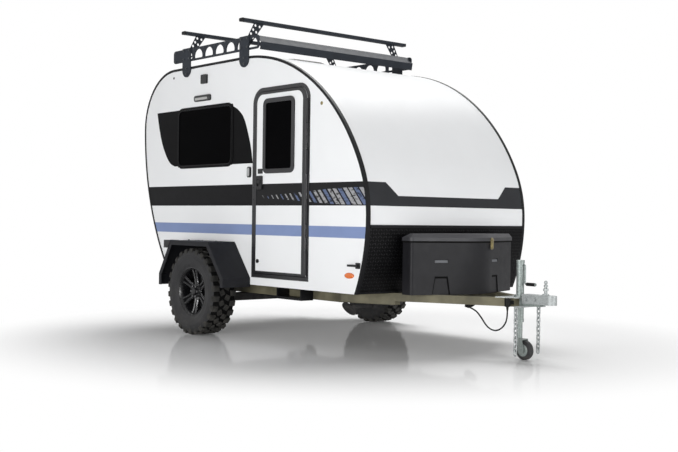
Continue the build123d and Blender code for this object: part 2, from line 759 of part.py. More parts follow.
with BuildPart() as axle_beam:
    block((beam_x - AXLE_BEAM / 2, -arm_inner, beam_z - AXLE_BEAM / 2),
          (beam_x + AXLE_BEAM / 2, arm_inner, beam_z + AXLE_BEAM / 2))
    fillet(axle_beam.edges().filter_by(Axis.Y), AXLE_BEAM / 7)
keep(axle_beam, "axle_beam")

with BuildPart() as axle_arms:
    with BuildSketch(right_side(arm_inner)):
        with BuildLine():
            Line((beam_x, beam_z - AXLE_BEAM / 2), (AXLE_X, TYRE_RADIUS - AXLE_BEAM / 2))
            ThreePointArc((AXLE_X, TYRE_RADIUS - AXLE_BEAM / 2), (AXLE_X - AXLE_BEAM / 2, TYRE_RADIUS),
                          (AXLE_X, TYRE_RADIUS + AXLE_BEAM / 2))
            Line((AXLE_X, TYRE_RADIUS + AXLE_BEAM / 2), (beam_x, beam_z + AXLE_BEAM / 2))
            ThreePointArc((beam_x, beam_z + AXLE_BEAM / 2), (beam_x + AXLE_BEAM / 2, beam_z),
                          (beam_x, beam_z - AXLE_BEAM / 2))
        make_face()
    extrude(amount=ARM_THICKNESS)
    with BuildSketch(right_side(arm_inner + ARM_THICKNESS)):
        with Locations((AXLE_X, TYRE_RADIUS)):
            Circle(SPINDLE_RADIUS)
    extrude(amount=WHEEL_MID - arm_inner - ARM_THICKNESS)
    mirror(about=Plane.XZ)
keep(axle_arms, "axle_arms")

# Fenders, folded from sheet with a lip along the outer edge
fender_fold = (  # X, Z of the outer face from the rear foot to the front foot
    (AXLE_X - FENDER_KNEE_REAR, FENDER_FOOT_REAR),
    (AXLE_X - FENDER_KNEE_REAR, FENDER_KNEE),
    (AXLE_X - FENDER_TOP_REAR, FENDER_TOP),
    (AXLE_X + FENDER_TOP_FRONT, FENDER_TOP),
    (AXLE_X + FENDER_KNEE_FRONT, FENDER_KNEE),
    (AXLE_X + FENDER_KNEE_FRONT, FENDER_FOOT_FRONT),
)
with BuildPart() as fender_right:
    with BuildSketch(right_side(HALF_BODY)):
        add(sheet_section(fender_fold, FENDER_SHEET))
    extrude(amount=FENDER_OUTSIDE - HALF_BODY)
    with BuildSketch(right_side(FENDER_OUTSIDE - FENDER_SHEET)):
        add(sheet_section(fender_fold, FENDER_LIP))
    extrude(amount=FENDER_SHEET)
keep(fender_right, "fender_right")

with BuildPart() as fender_left:
    mirror(fender_right.part, about=Plane.XZ)
keep(fender_left, "fender_left")

# Lamps: one on the back slope of each fender and one on each side of the rear panel
lamp_top_x = AXLE_X - FENDER_TOP_REAR
slope = (FENDER_KNEE_REAR - FENDER_TOP_REAR) / (FENDER_TOP - FENDER_KNEE)
with BuildPart() as tail_lamps:
    with BuildSketch(right_side(FENDER_OUTSIDE - FENDER_LAMP_WIDTH)):
        with BuildLine():
            Polyline((lamp_top_x, FENDER_TOP), (lamp_top_x - FENDER_LAMP_REACH, FENDER_TOP),
                     (lamp_top_x - FENDER_LAMP_REACH, FENDER_TOP - FENDER_LAMP_DROP),
                     (lamp_top_x - slope * FENDER_LAMP_DROP, FENDER_TOP - FENDER_LAMP_DROP), close=True)
        make_face()
    extrude(amount=FENDER_LAMP_WIDTH)
    with BuildSketch(right_side(INNER_HALF - REAR_LAMP_INSET)):
        add(outline_band(-REAR_LAMP_PROUD, MOULDING_THICKNESS))
        with Locations((REAR, REAR_LAMP_HEIGHT)):
            Rectangle(BODY_LENGTH, REAR_LAMP_TALL, mode=Mode.INTERSECT)
    extrude(amount=REAR_LAMP_WIDTH)
    mirror(about=Plane.XZ)
keep(tail_lamps, "tail_lamps")

# Small fittings on the right wall
with BuildPart() as marker_lamps:
    with BuildSketch(right_side(HALF_BODY)):
        with Locations((at(MARKER_STATION), MARKER_HEIGHT)):
            RectangleRounded(MARKER_LENGTH, MARKER_TALL, MARKER_CORNER)
    extrude(amount=MARKER_PROUD)
    mirror(about=Plane.XZ)
keep(marker_lamps, "marker_lamps")

with BuildPart() as porch_lamp:
    with BuildSketch(right_side(HALF_BODY)):
        with Locations((at(PORCH_STATION), WINDOW_HEIGHT + WINDOW_DEPTH / 2 + PORCH_LIFT)):
            RectangleRounded(PORCH_LENGTH, PORCH_TALL, PORCH_CORNER)
    extrude(amount=PORCH_PROUD)
    chamfer(porch_lamp.faces().sort_by(Axis.Y)[0].edges(), PORCH_BEVEL)
keep(porch_lamp, "porch_lamp")

# Power inlet, name plate blank and the catch that holds the open door
with BuildPart() as wall_fittings:
    for station, height, length, tall, corner, proud in WALL_FITTINGS:
        with BuildSketch(right_side(HALF_BODY)):
            with Locations((at(station), height)):
                RectangleRounded(length, tall, corner)
        extrude(amount=proud)
    block((at(CATCH_REAR), -HALF_BODY - CATCH_PROUD, CATCH_HEIGHT - CATCH_TALL / 2),
          (at(CATCH_FRONT), -HALF_BODY - CATCH_FOOT, CATCH_HEIGHT + CATCH_TALL / 2))
keep(wall_fittings, "wall_fittings")

# Chassis
rail_slope = tan(radians(TONGUE_ANGLE))
rail_across = RAIL_WIDE / cos(radians(TONGUE_ANGLE))


def tongue_outside(station):
    """Half-width over the outer faces of the converging tongue rails."""
    return RAIL_HALF - (station - TONGUE_START) * rail_slope


with BuildPart() as main_rails:
    block((at(RAIL_REAR), -RAIL_HALF, RAIL_BOTTOM), (at(TONGUE_START), -RAIL_HALF + RAIL_WIDE, BODY_BOTTOM))
    mirror(about=Plane.XZ)
keep(main_rails, "main_rails")

with BuildPart() as tongue_rails:
    with BuildSketch(Plane.XY.offset(RAIL_BOTTOM)):
        with BuildLine():
            Polyline((at(TONGUE_START), -RAIL_HALF), (at(TONGUE_END), -tongue_outside(TONGUE_END)),
                     (at(TONGUE_END), -tongue_outside(TONGUE_END) + rail_across),
                     (at(TONGUE_START), -RAIL_HALF + rail_across), close=True)
        make_face()
    extrude(amount=RAIL_TALL)
    block((at(TONGUE_STEP), -RAIL_HALF, RAIL_BOTTOM), (at(TONGUE_END), 0, TONGUE_BOTTOM), mode=Mode.SUBTRACT)
    mirror(about=Plane.XZ)
keep(tongue_rails, "tongue_rails")

main_inside = RAIL_HALF - RAIL_WIDE
CROSS_MEMBERS = (  # station of the middle, half-length
    (RAIL_REAR + CROSS_WIDE / 2, main_inside),
    (STABILIZERS[1][1], main_inside),
    (AXLE_STATION, main_inside),
    (2000.0, main_inside),
    (STABILIZERS[0][1], tongue_outside(STABILIZERS[0][1] + CROSS_WIDE / 2) - rail_across),
)
with BuildPart() as cross_members:
    for station, half in CROSS_MEMBERS:
        block((at(station) - CROSS_WIDE / 2, -half, BODY_BOTTOM - CROSS_TALL),
              (at(station) + CROSS_WIDE / 2, half, BODY_BOTTOM))
keep(cross_members, "cross_members")

with BuildPart() as tongue_tube:
    block((at(TONGUE_TUBE_START), -TONGUE_TUBE_HALF, TUBE_BOTTOM),
          (at(TONGUE_TUBE_END), TONGUE_TUBE_HALF, TUBE_TOP))
keep(tongue_tube, "tongue_tube")

# Coupler: plate over the rail ends, pressed channel and ball socket
coupler_tip = REAR + OVERALL_LENGTH
with BuildPart() as coupler:
    with BuildSketch(Plane.XY.offset(BODY_BOTTOM)):
        with BuildLine():
            Polyline((at(COUPLER_REAR), -tongue_outside(COUPLER_REAR)),
                     (at(TONGUE_TUBE_START), -tongue_outside(TONGUE_TUBE_START)),
                     (at(TONGUE_TUBE_START), tongue_outside(TONGUE_TUBE_START)),
                     (at(COUPLER_REAR), tongue_outside(COUPLER_REAR)), close=True)
        make_face()
        with Locations((at(JACK_STATION), 0)):
            Circle(JACK_RADIUS + PIN_GAP, mode=Mode.SUBTRACT)
    extrude(amount=COUPLER_PLATE)
    with BuildSketch(Plane.XY.offset(COUPLER_SKIRT)):
        with Locations((coupler_tip - COUPLER_HALF, 0)):
            Circle(COUPLER_HALF)
        with Locations(((at(TONGUE_TUBE_START) + coupler_tip - COUPLER_HALF) / 2, 0)):
            Rectangle(coupler_tip - COUPLER_HALF - at(TONGUE_TUBE_START), 2 * COUPLER_HALF)
    extrude(amount=COUPLER_TOP - COUPLER_SKIRT)
    with BuildSketch(Plane.XY.offset(COUPLER_SKIRT)):
        with Locations((coupler_tip - COUPLER_HALF, 0)):
            Circle(COUPLER_HALF - COUPLER_WALL)
        with Locations(((at(TONGUE_TUBE_START) + coupler_tip - COUPLER_HALF) / 2, 0)):
            Rectangle(coupler_tip - COUPLER_HALF - at(TONGUE_TUBE_START), 2 * (COUPLER_HALF - COUPLER_WALL))
    extrude(amount=COUPLER_TOP - COUPLER_WALL - COUPLER_SKIRT, mode=Mode.SUBTRACT)
    with BuildSketch(Plane.XY.offset(COUPLER_TOP - COUPLER_WALL - BALL_SOCKET_DEPTH)):
        with Locations((at(BALL_STATION), 0)):
            Circle(BALL_SOCKET_RADIUS + SOCKET_WALL)
            Circle(BALL_SOCKET_RADIUS, mode=Mode.SUBTRACT)
    extrude(amount=BALL_SOCKET_DEPTH)
keep(coupler, "coupler")

with BuildPart() as coupler_latch:
    with BuildSketch(Plane.XZ):
        with BuildLine():
            Polyline(*((at(LATCH_STATION) + ahead, COUPLER_TOP + rise) for ahead, rise in LATCH_SIDE),
                     close=True)
        make_face()
    extrude(amount=LATCH_HALF, both=True)
keep(coupler_latch, "coupler_latch")

# Tongue jack
jack_x = at(JACK_STATION)
with BuildPart() as jack_tube:
    with Locations((jack_x, 0, (JACK_BOTTOM + JACK_TOP) / 2)):
        Cylinder(JACK_RADIUS, JACK_TOP - JACK_BOTTOM)
    with Locations((jack_x, 0, BODY_BOTTOM + COUPLER_PLATE + JACK_FLANGE_THICK / 2)):
        Cylinder(JACK_FLANGE, JACK_FLANGE_THICK)
    with Locations((jack_x, 0, (JACK_BOTTOM + JACK_TOP) / 2 - JACK_CAP)):
        Cylinder(LEG_RADIUS + PIN_GAP, JACK_TOP - JACK_BOTTOM, mode=Mode.SUBTRACT)
keep(jack_tube, "jack_tube")

crank_x = jack_x + JACK_RADIUS + CRANK_STANDOFF
with BuildPart() as jack_crank:
    with BuildLine() as crank_line:
        FilletPolyline((jack_x + JACK_RADIUS + FACE_GAP, 0, CRANK_HEIGHT), (crank_x, 0, CRANK_HEIGHT),
                       (crank_x, 0, CRANK_HEIGHT - CRANK_DROP),
                       (crank_x + GRIP_LENGTH, 0, CRANK_HEIGHT - CRANK_DROP),
                       radius=CRANK_ROD * 2)
    with BuildSketch(Plane(origin=crank_line.line @ 0, z_dir=crank_line.line % 0)):
        Circle(CRANK_ROD)
    sweep()
    with Locations((crank_x + GRIP_LENGTH / 2 + GRIP_LEAD, 0, CRANK_HEIGHT - CRANK_DROP)):
        Cylinder(GRIP_RADIUS, GRIP_LENGTH, rotation=(0, 90, 0))
keep(jack_crank, "jack_crank")

caster_x = jack_x + CASTER_TRAIL
fork_low = 2 * CASTER_RADIUS + RUNNING_GAP
leg_low = fork_low + FORK_PLATE + FACE_GAP
fork_half = CASTER_WIDTH / 2 + RUNNING_GAP

with BuildPart() as jack_leg:
    with Locations((jack_x, 0, (leg_low + LEG_TOP) / 2)):
        Cylinder(LEG_RADIUS, LEG_TOP - leg_low)
    with Locations((jack_x, 0, (fork_low + leg_low) / 2)):
        Cylinder(STEM_RADIUS, leg_low - fork_low)
keep(jack_leg, "jack_leg")

with BuildPart() as jack_fork:
    with BuildSketch(Plane.XY.offset(fork_low)):
        with Locations((jack_x, 0)):
            Circle(fork_half + FORK_PLATE)
        with Locations(((jack_x + caster_x) / 2, 0)):
            Rectangle(CASTER_TRAIL, 2 * (fork_half + FORK_PLATE))
    extrude(amount=FORK_PLATE)
    for side in (-1, 1):
        inner = side * fork_half
        outer = side * (fork_half + FORK_PLATE)
        with BuildSketch(Plane.XZ.offset(-max(inner, outer))):
            with BuildLine():
                Polyline((jack_x - FORK_CHEEK_REAR, fork_low),
                         (caster_x - FORK_CHEEK_HALF, CASTER_RADIUS - FORK_CHEEK_LOW),
                         (caster_x + FORK_CHEEK_HALF, CASTER_RADIUS - FORK_CHEEK_LOW),
                         (caster_x + FORK_CHEEK_HALF, CASTER_RADIUS + FORK_CHEEK_HIGH),
                         (caster_x, fork_low), close=True)
            make_face()
        extrude(amount=FORK_PLATE)
    with Locations((jack_x, 0, fork_low)):
        Cylinder(STEM_RADIUS + PIN_GAP, 3 * FORK_PLATE, mode=Mode.SUBTRACT)
    with Locations((caster_x, 0, CASTER_RADIUS)):
        Cylinder(CASTER_PIN, 2 * fork_half, rotation=(90, 0, 0))
keep(jack_fork, "jack_fork")

with BuildPart() as jack_wheel:
    with BuildSketch(Plane.XZ):
        with Locations((caster_x, CASTER_RADIUS)):
            RegularPolygon(CASTER_RADIUS, TYRE_SIDES)
    extrude(amount=CASTER_WIDTH / 2, both=True)
    chamfer(jack_wheel.faces().filter_by(Axis.Y).edges(), CASTER_EDGE)
    with BuildSketch(Plane.XZ):
        with Locations((caster_x, CASTER_RADIUS)):
            RegularPolygon(CASTER_PIN + PIN_GAP, LUG_COUNT, major_radius=False)
    extrude(amount=CASTER_WIDTH, both=True, mode=Mode.SUBTRACT)
keep(jack_wheel, "jack_wheel")


# Tool box on the tongue, with a lid that lifts at the front
def box_plan(grow):
    """Plan of the tool box, grown all round by that much."""
    with BuildSketch() as plan:
        with BuildLine():
            side_x = at(BOX_REAR) + BOX_SIDE
            nose_x = at(BOX_REAR) + BOX_NOSE
            Polyline((at(BOX_REAR), -BOX_HALF), (side_x, -BOX_HALF), (nose_x, 0), (side_x, BOX_HALF),
                     (at(BOX_REAR), BOX_HALF), close=True)
        make_face()
        fillet(plan.vertices().sort_by(Axis.X)[-1], BOX_NOSE_RADIUS)
        front = plan.vertices().filter_by(lambda v: v.X > at(BOX_REAR) + FACE_GAP)
        fillet(front.filter_by(lambda v: abs(abs(v.Y) - BOX_HALF) < FACE_GAP), BOX_CORNER)
        if grow:
            offset(amount=grow, kind=Kind.INTERSECTION)
    return plan.sketch


box_low = BODY_BOTTOM
box_high = BODY_BOTTOM + BOX_TALL
lid_low = box_high + FACE_GAP
box_rake = (BOX_NOSE - BOX_SIDE) / BOX_HALF
box_hinge_x = at(BOX_REAR) - BOX_HINGE_RADIUS


def front_face(half, height):
    """Plane on the tool box's front at that distance from the middle, facing out, with its Y up."""
    facing = 1 if half > 0 else -1
    way = Vector(1, facing * box_rake, 0).normalized()
    return Plane(origin=(at(BOX_REAR) + BOX_NOSE - abs(half) * box_rake, half, height),
                 x_dir=(-way.Y, way.X, 0), z_dir=way)


def box_barrels(first, step):
    """Every second barrel of the tool box hinge, with the step that joins it to its own side."""
    for middle, length in BOX_HINGES[first::2]:
        with Locations((box_hinge_x, middle, lid_low)):
            Cylinder(BOX_HINGE_RADIUS, length, rotation=(90, 0, 0))
        block((box_hinge_x, middle - length / 2, min(lid_low, lid_low + step)),
              (at(BOX_REAR) + BOX_WALL / 2, middle + length / 2, max(lid_low, lid_low + step)))


with BuildPart() as tool_box:
    with BuildSketch(Plane.XY.offset(box_low)):
        add(box_plan(0))
    extrude(amount=BOX_TALL)
    with BuildSketch(Plane.XY.offset(box_low + BOX_WALL)):
        add(box_plan(-BOX_WALL))
    extrude(amount=BOX_TALL, mode=Mode.SUBTRACT)
    with BuildSketch(*(front_face(middle, box_low) for middle in BOX_RECESSES)):
        Polygon((-BOX_ARCH_FOOT / 2, 0), (BOX_ARCH_FOOT / 2, 0), (BOX_ARCH_TOP / 2, BOX_ARCH_TALL),
                (-BOX_ARCH_TOP / 2, BOX_ARCH_TALL), align=None)
        with Locations((0, BOX_GRIP_LOW + BOX_GRIP_TALL / 2)):
            RectangleRounded(BOX_GRIP_WIDTH, BOX_GRIP_TALL, BOX_LATCH_CORNER)
    extrude(amount=-BOX_RECESS_DEPTH, mode=Mode.SUBTRACT)
    box_barrels(0, -BOX_HINGE_RADIUS)
keep(tool_box, "tool_box")

with BuildPart() as tool_box_lid:
    with BuildSketch(Plane.XY.offset(lid_low)):
        add(box_plan(LID_LAP))
    extrude(amount=LID_EDGE)
    with BuildSketch(Plane.XY.offset(lid_low + LID_EDGE)):
        add(box_plan(LID_LAP))
    extrude(amount=LID_TALL - LID_EDGE, taper=LID_TAPER)
    with BuildSketch(Plane.XZ):
        with BuildLine():
            Polyline((at(BOX_REAR), lid_low + LID_EDGE), (at(BOX_REAR) + LID_SLOPE, lid_low + LID_TALL),
                     (at(BOX_REAR), lid_low + LID_TALL), close=True)
        make_face()
    extrude(amount=BOX_HALF + 2 * LID_LAP, both=True, mode=Mode.SUBTRACT)
    block((at(BOX_REAR) - 2 * LID_LAP, -BOX_HALF - 2 * LID_LAP, lid_low),
          (at(BOX_REAR), BOX_HALF + 2 * LID_LAP, lid_low + LID_TALL), mode=Mode.SUBTRACT)
    with BuildSketch(Plane.XY.offset(lid_low)):
        add(box_plan(-BOX_WALL))
    extrude(amount=LID_EDGE - BOX_WALL, mode=Mode.SUBTRACT)
    box_barrels(1, BOX_HINGE_RADIUS)
    for middle, length in BOX_HINGES[0::2]:
        with Locations((box_hinge_x, middle, lid_low)):
            Cylinder(BOX_HINGE_RADIUS + PIN_GAP, length + 2 * PIN_GAP, rotation=(90, 0, 0),
                     mode=Mode.SUBTRACT)
keep(tool_box_lid, "tool_box_lid")

# Draw latch on the lid's front edge, on the left half
with BuildPart() as tool_box_latch:
    latch_face = front_face(BOX_LATCH_Y, lid_low + LID_EDGE - BOX_LATCH_TALL / 2)
    with BuildSketch(latch_face.offset(LID_LAP + FACE_GAP)):
        RectangleRounded(BOX_LATCH_WIDTH, BOX_LATCH_TALL, BOX_LATCH_CORNER)
    extrude(amount=BOX_LATCH_PROUD)
keep(tool_box_latch, "tool_box_latch")

# Roof rack
truss_mid = HALF_BODY + MOULDING_THICKNESS
truss_top = TRUSS_LOW + TRUSS_TALL
bar_low = truss_top + BAR_RISE


def truss_hole(width, tall, corner):
    """Rounded dome that lightens the truss, flat side down."""
    with BuildSketch() as hole:
        with BuildLine():
            Line((-width / 2, -tall / 2), (width / 2, -tall / 2))
            ThreePointArc((width / 2, -tall / 2), (0, tall / 2), (-width / 2, -tall / 2))
        make_face()
        fillet(hole.vertices(), corner)
    return hole.sketch


with BuildPart() as rack_trusses:
    with BuildSketch(right_side(truss_mid - RACK_PLATE)):
        with Locations((at((TRUSS_REAR + TRUSS_FRONT) / 2), TRUSS_LOW + TRUSS_TALL / 2)):
            RectangleRounded(TRUSS_FRONT - TRUSS_REAR, TRUSS_TALL, TRUSS_TALL / 4)
        hole_pitch = (TRUSS_FRONT - TRUSS_REAR) / TRUSS_HOLES
        for index in range(1, TRUSS_HOLES):
            with Locations((at(TRUSS_REAR) + (index + 0.5) * hole_pitch, TRUSS_LOW + TRUSS_TALL / 2)):
                add(truss_hole(TRUSS_HOLE_WIDTH, TRUSS_HOLE_TALL, TRUSS_HOLE_CORNER), mode=Mode.SUBTRACT)
    extrude(amount=RACK_PLATE)
    mirror(about=Plane.XZ)
keep(rack_trusses, "rack_trusses")

with BuildPart() as rack_posts:
    with BuildSketch(right_side(truss_mid + FACE_GAP)):
        for station in POST_STATIONS:
            post_top = truss_top + POST_RISE
            slot_end = post_top + POST_WIDTH / 2
            with Locations((at(station), (POST_LOW + slot_end) / 2)):
                SlotOverall(slot_end - POST_LOW, POST_WIDTH, rotation=90)
            with Locations((at(station), post_top + POST_WIDTH)):
                Rectangle(2 * POST_WIDTH, 2 * POST_WIDTH, mode=Mode.SUBTRACT)
    extrude(amount=RACK_PLATE)
    mirror(about=Plane.XZ)
keep(rack_posts, "rack_posts")

strut_foot = truss_mid - RACK_PLATE - FACE_GAP
with BuildPart() as rack_struts:
    for station in POST_STATIONS:
        bar_x = at(station) + BAR_LEAD
        with BuildSketch(Plane.YZ.offset(bar_x - RACK_PLATE / 2)):
            with BuildLine():
                Polyline((-strut_foot, truss_top - STRUT_WIDTH), (-strut_foot, truss_top),
                         (-STRUT_TOP_HALF - STRUT_WIDTH, bar_low), (-STRUT_TOP_HALF, bar_low), close=True)
            make_face()
            for index in range(STRUT_HOLES):
                share = (index + 0.5) / STRUT_HOLES
                hole_half = strut_foot - share * (strut_foot - STRUT_TOP_HALF - STRUT_WIDTH / 2)
                hole_height = truss_top - STRUT_WIDTH / 2 + share * (bar_low - truss_top + STRUT_WIDTH / 2)
                row_gap = share * STRUT_WIDTH / 4
                with Locations((-hole_half - row_gap, hole_height + STRUT_WIDTH / 4 - row_gap),
                               (-hole_half + row_gap, hole_height - STRUT_WIDTH / 4 + row_gap)):
                    RegularPolygon(STRUT_HOLE, STRUT_HOLE_SIDES, mode=Mode.SUBTRACT)
        extrude(amount=RACK_PLATE)
    mirror(about=Plane.XZ)
keep(rack_struts, "rack_struts")

with BuildPart() as rack_crossbars:
    for station in POST_STATIONS:
        bar_x = at(station) + BAR_LEAD
        block((bar_x - BAR_WIDE / 2, -BAR_HALF, bar_low),
              (bar_x + BAR_WIDE / 2, BAR_HALF, bar_low + BAR_TALL))
    fillet(rack_crossbars.edges().filter_by(Axis.Y), BAR_TALL / 4)
keep(rack_crossbars, "rack_crossbars")

with BuildPart() as rack_fairing:
    with BuildSketch(Plane.XZ):
        add(sheet_section([(at(TRUSS_FRONT) + ahead, truss_top - drop) for ahead, drop in FAIRING_FOLD],
                          FAIRING_SHEET))
    extrude(amount=strut_foot, both=True)
keep(rack_fairing, "rack_fairing")

# Roof vent
curb_half = VENT_OPENING / 2 + VENT_CURB
lid_half = curb_half + VENT_LID_LAP
vent_lid_low = ROOF_TOP + VENT_RISE + RUNNING_GAP
with BuildPart() as vent_base:
    with BuildSketch(Plane.XY.offset(ROOF_TOP)):
        with Locations((VENT_X, 0)):
            Rectangle(2 * curb_half, 2 * curb_half)
            Rectangle(VENT_OPENING, VENT_OPENING, mode=Mode.SUBTRACT)
    extrude(amount=VENT_RISE)
    with Locations((VENT_X + curb_half + VENT_HINGE, 0, ROOF_TOP + VENT_RISE + VENT_HINGE)):
        Cylinder(VENT_HINGE_PIN, curb_half, rotation=(90, 0, 0))
    block((VENT_X + curb_half - VENT_HINGE, -curb_half / 2, ROOF_TOP + VENT_RISE - VENT_HINGE),
          (VENT_X + curb_half + VENT_HINGE, curb_half / 2, ROOF_TOP + VENT_RISE + VENT_HINGE))
keep(vent_base, "vent_base")

with BuildPart() as vent_lid:
    with BuildSketch(Plane.XY.offset(vent_lid_low)):
        with Locations((VENT_X - VENT_LID_LAP / 2, 0)):
            RectangleRounded(2 * lid_half - VENT_LID_LAP, 2 * lid_half, VENT_LID_CORNER)
    extrude(amount=VENT_LID_TALL, taper=VENT_LID_TAPER)
keep(vent_lid, "vent_lid")

# Stabilizer legs hang from brackets under the cross members
pivot_z = RAIL_BOTTOM - STABILIZER_DROP
bracket_half = STABILIZER_LEG / 2 + RUNNING_GAP
with BuildPart() as stabilizer_brackets:
    for _, station in STABILIZERS:
        middle = at(station)
        low = pivot_z - STABILIZER_LEG / 2
        half = bracket_half + BRACKET_SHEET
        block((middle - half, -STABILIZER_PIVOT - BRACKET_OUT, RAIL_BOTTOM - BRACKET_SHEET),
              (middle + half, -STABILIZER_PIVOT + BRACKET_IN, BODY_BOTTOM - CROSS_TALL))
        for side in (-1, 1):
            near = middle + side * bracket_half
            far = near + side * BRACKET_SHEET
            block((min(near, far), -STABILIZER_PIVOT - BRACKET_CHEEK, low),
                  (max(near, far), -STABILIZER_PIVOT + BRACKET_CHEEK, RAIL_BOTTOM))
        with Locations((middle, -STABILIZER_PIVOT, pivot_z)):
            Cylinder(STABILIZER_PIN, 2 * bracket_half, rotation=(0, 90, 0))
    mirror(about=Plane.XZ)
keep(stabilizer_brackets, "stabilizer_brackets")

for end, station in STABILIZERS:
    foot_y = -STABILIZER_PIVOT - STABILIZER_LENGTH
    with BuildPart() as leg_right:
        block((at(station) - STABILIZER_LEG / 2, foot_y, pivot_z - STABILIZER_LEG / 2),
              (at(station) + STABILIZER_LEG / 2, -STABILIZER_PIVOT, pivot_z + STABILIZER_LEG / 2))
        with Locations((at(station), -STABILIZER_PIVOT, pivot_z)):
            Cylinder(STABILIZER_LEG / 2, STABILIZER_LEG, rotation=(0, 90, 0))
            Cylinder(STABILIZER_PIN + PIN_GAP, 2 * STABILIZER_LEG, rotation=(0, 90, 0), mode=Mode.SUBTRACT)
        with Locations((at(station), foot_y, pivot_z - STABILIZER_LEG / 2)):
            Cylinder(STABILIZER_FOOT, STABILIZER_FOOT_THICK, rotation=(-STABILIZER_FOOT_TILT, 0, 0))
    keep(leg_right, f"stabilizer_{end}_right")
    with BuildPart() as leg_left:
        mirror(leg_right.part, about=Plane.XZ)
    keep(leg_left, f"stabilizer_{end}_left")

# Entry step bracket under the door
step_outer = -STEP_REACH
with BuildPart() as entry_step:
    block((at(STEP_REAR), step_outer, BODY_BOTTOM - STEP_SHEET), (at(STEP_FRONT), -RAIL_HALF, BODY_BOTTOM))
    for side_x in (at(STEP_REAR), at(STEP_FRONT) - STEP_SHEET):
        block((side_x, step_outer, STEP_LOW), (side_x + STEP_SHEET, -RAIL_HALF - FACE_GAP, BODY_BOTTOM))
    block((at(STEP_REAR), step_outer, STEP_LOW),
          (at(STEP_FRONT), -RAIL_HALF - STEP_SETBACK, STEP_LOW + STEP_TREAD))
keep(entry_step, "entry_step")


# Safety chains hang from a bar under the tongue tube
def link_shape(half_straight, radius):
    """Long eight-sided outline of a chain link, along X."""
    corner_reach = radius / cos(radians(22.5))
    corners = []
    for index in range(8):
        turn = radians(22.5 + 45 * index)
        stretch = half_straight if cos(turn) > 0 else -half_straight
        corners.append((stretch + corner_reach * cos(turn), corner_reach * sin(turn)))
    with BuildSketch() as outline:
        Polygon(*corners, align=None)
    return outline.sketch


link_half = (CHAIN_INSIDE - CHAIN_OPENING) / 2
link_pitch = CHAIN_INSIDE - CHAIN_PLAY
eye_z = TUBE_BOTTOM - EYE_DROP + CHAIN_WIRE + EYE_HOLE
chain_top = eye_z - EYE_HOLE + CHAIN_PLAY + CHAIN_WIRE
with BuildPart() as safety_chains:
    for index in range(CHAIN_LINKS):
        middle_z = chain_top - CHAIN_WIRE - CHAIN_INSIDE / 2 - index * link_pitch
        flat = Vector(1, 0, 0) if index % 2 else Vector(0, 1, 0)
        middle = Vector(at(CHAIN_STATION), -CHAIN_HALF, middle_z)
        with BuildSketch(Plane(origin=middle - flat * (CHAIN_WIRE / 2), x_dir=(0, 0, -1), z_dir=flat)):
            add(link_shape(link_half, CHAIN_OPENING / 2 + CHAIN_WIRE))
            Rectangle(CHAIN_INSIDE, CHAIN_OPENING, mode=Mode.SUBTRACT)
        extrude(amount=CHAIN_WIRE)
    mirror(about=Plane.XZ)
keep(safety_chains, "safety_chains")

eye_half = EYE_HOLE + CHAIN_WIRE
with BuildPart() as chain_eyes:
    with BuildSketch(Plane.YZ.offset(at(CHAIN_STATION) - CHAIN_WIRE / 2)):
        with Locations((0, TUBE_BOTTOM - EYE_BAR_TALL / 2)):
            Rectangle(2 * (CHAIN_HALF + eye_half), EYE_BAR_TALL)
        for side in (-1, 1):
            with Locations((side * CHAIN_HALF, TUBE_BOTTOM - EYE_DROP / 2)):
                Rectangle(2 * eye_half, EYE_DROP)
            with Locations((side * CHAIN_HALF, eye_z)):
                Circle(EYE_HOLE, mode=Mode.SUBTRACT)
    extrude(amount=CHAIN_WIRE)
keep(chain_eyes, "chain_eyes")

# Power cable with its clip under the rail and its parked plug
route = [Vector(FRONT + ahead, -half, height) for ahead, half, height in CABLE_ROUTE]
radii = []
for before, point, after in zip(route, route[1:], route[2:]):
    turn = (point - before).get_angle(after - point)
    shorter = min((point - before).length, (after - point).length)
    radii.append(0.45 * shorter / tan(radians(turn / 2)))

with BuildPart() as power_cable:
    with BuildLine() as cable_line:
        FilletPolyline(*route, radius=radii)
    with BuildSketch(Plane(origin=cable_line.line @ 0, z_dir=cable_line.line % 0)):
        Circle(CABLE_DIAMETER / 2)
    sweep()
keep(power_cable, "power_cable")

exit_way = (route[1] - route[0]).normalized()
with BuildPart() as cable_gland:
    with BuildSketch(Plane(origin=route[0] - exit_way * GLAND_LENGTH, z_dir=exit_way)):
        Circle(GLAND_RADIUS)
    extrude(amount=GLAND_LENGTH)
    clip = route[0] - exit_way * (GLAND_LENGTH / 2)
    block((clip.X - CLIP_HALF, clip.Y - GLAND_RADIUS, clip.Z),
          (clip.X + CLIP_HALF, clip.Y + GLAND_RADIUS, TONGUE_BOTTOM))
keep(cable_gland, "cable_gland")

plug_low = route[-1]
with BuildPart() as cable_plug:
    with BuildSketch(Plane(origin=plug_low, x_dir=(1, 0, 0), z_dir=(0, -1, 0))):
        with BuildLine():
            Polyline((0, 0), (CABLE_DIAMETER / 2 + PLUG_NECK_WALL, 0),
                     (CABLE_DIAMETER / 2 + PLUG_NECK_FLARE, PLUG_NECK), (PLUG_RADIUS, PLUG_SHOULDER),
                     (PLUG_RADIUS, PLUG_TALL), (0, PLUG_TALL), close=True)
        make_face()
    revolve(axis=Axis(plug_low, (0, 0, 1)))
keep(cable_plug, "cable_plug")

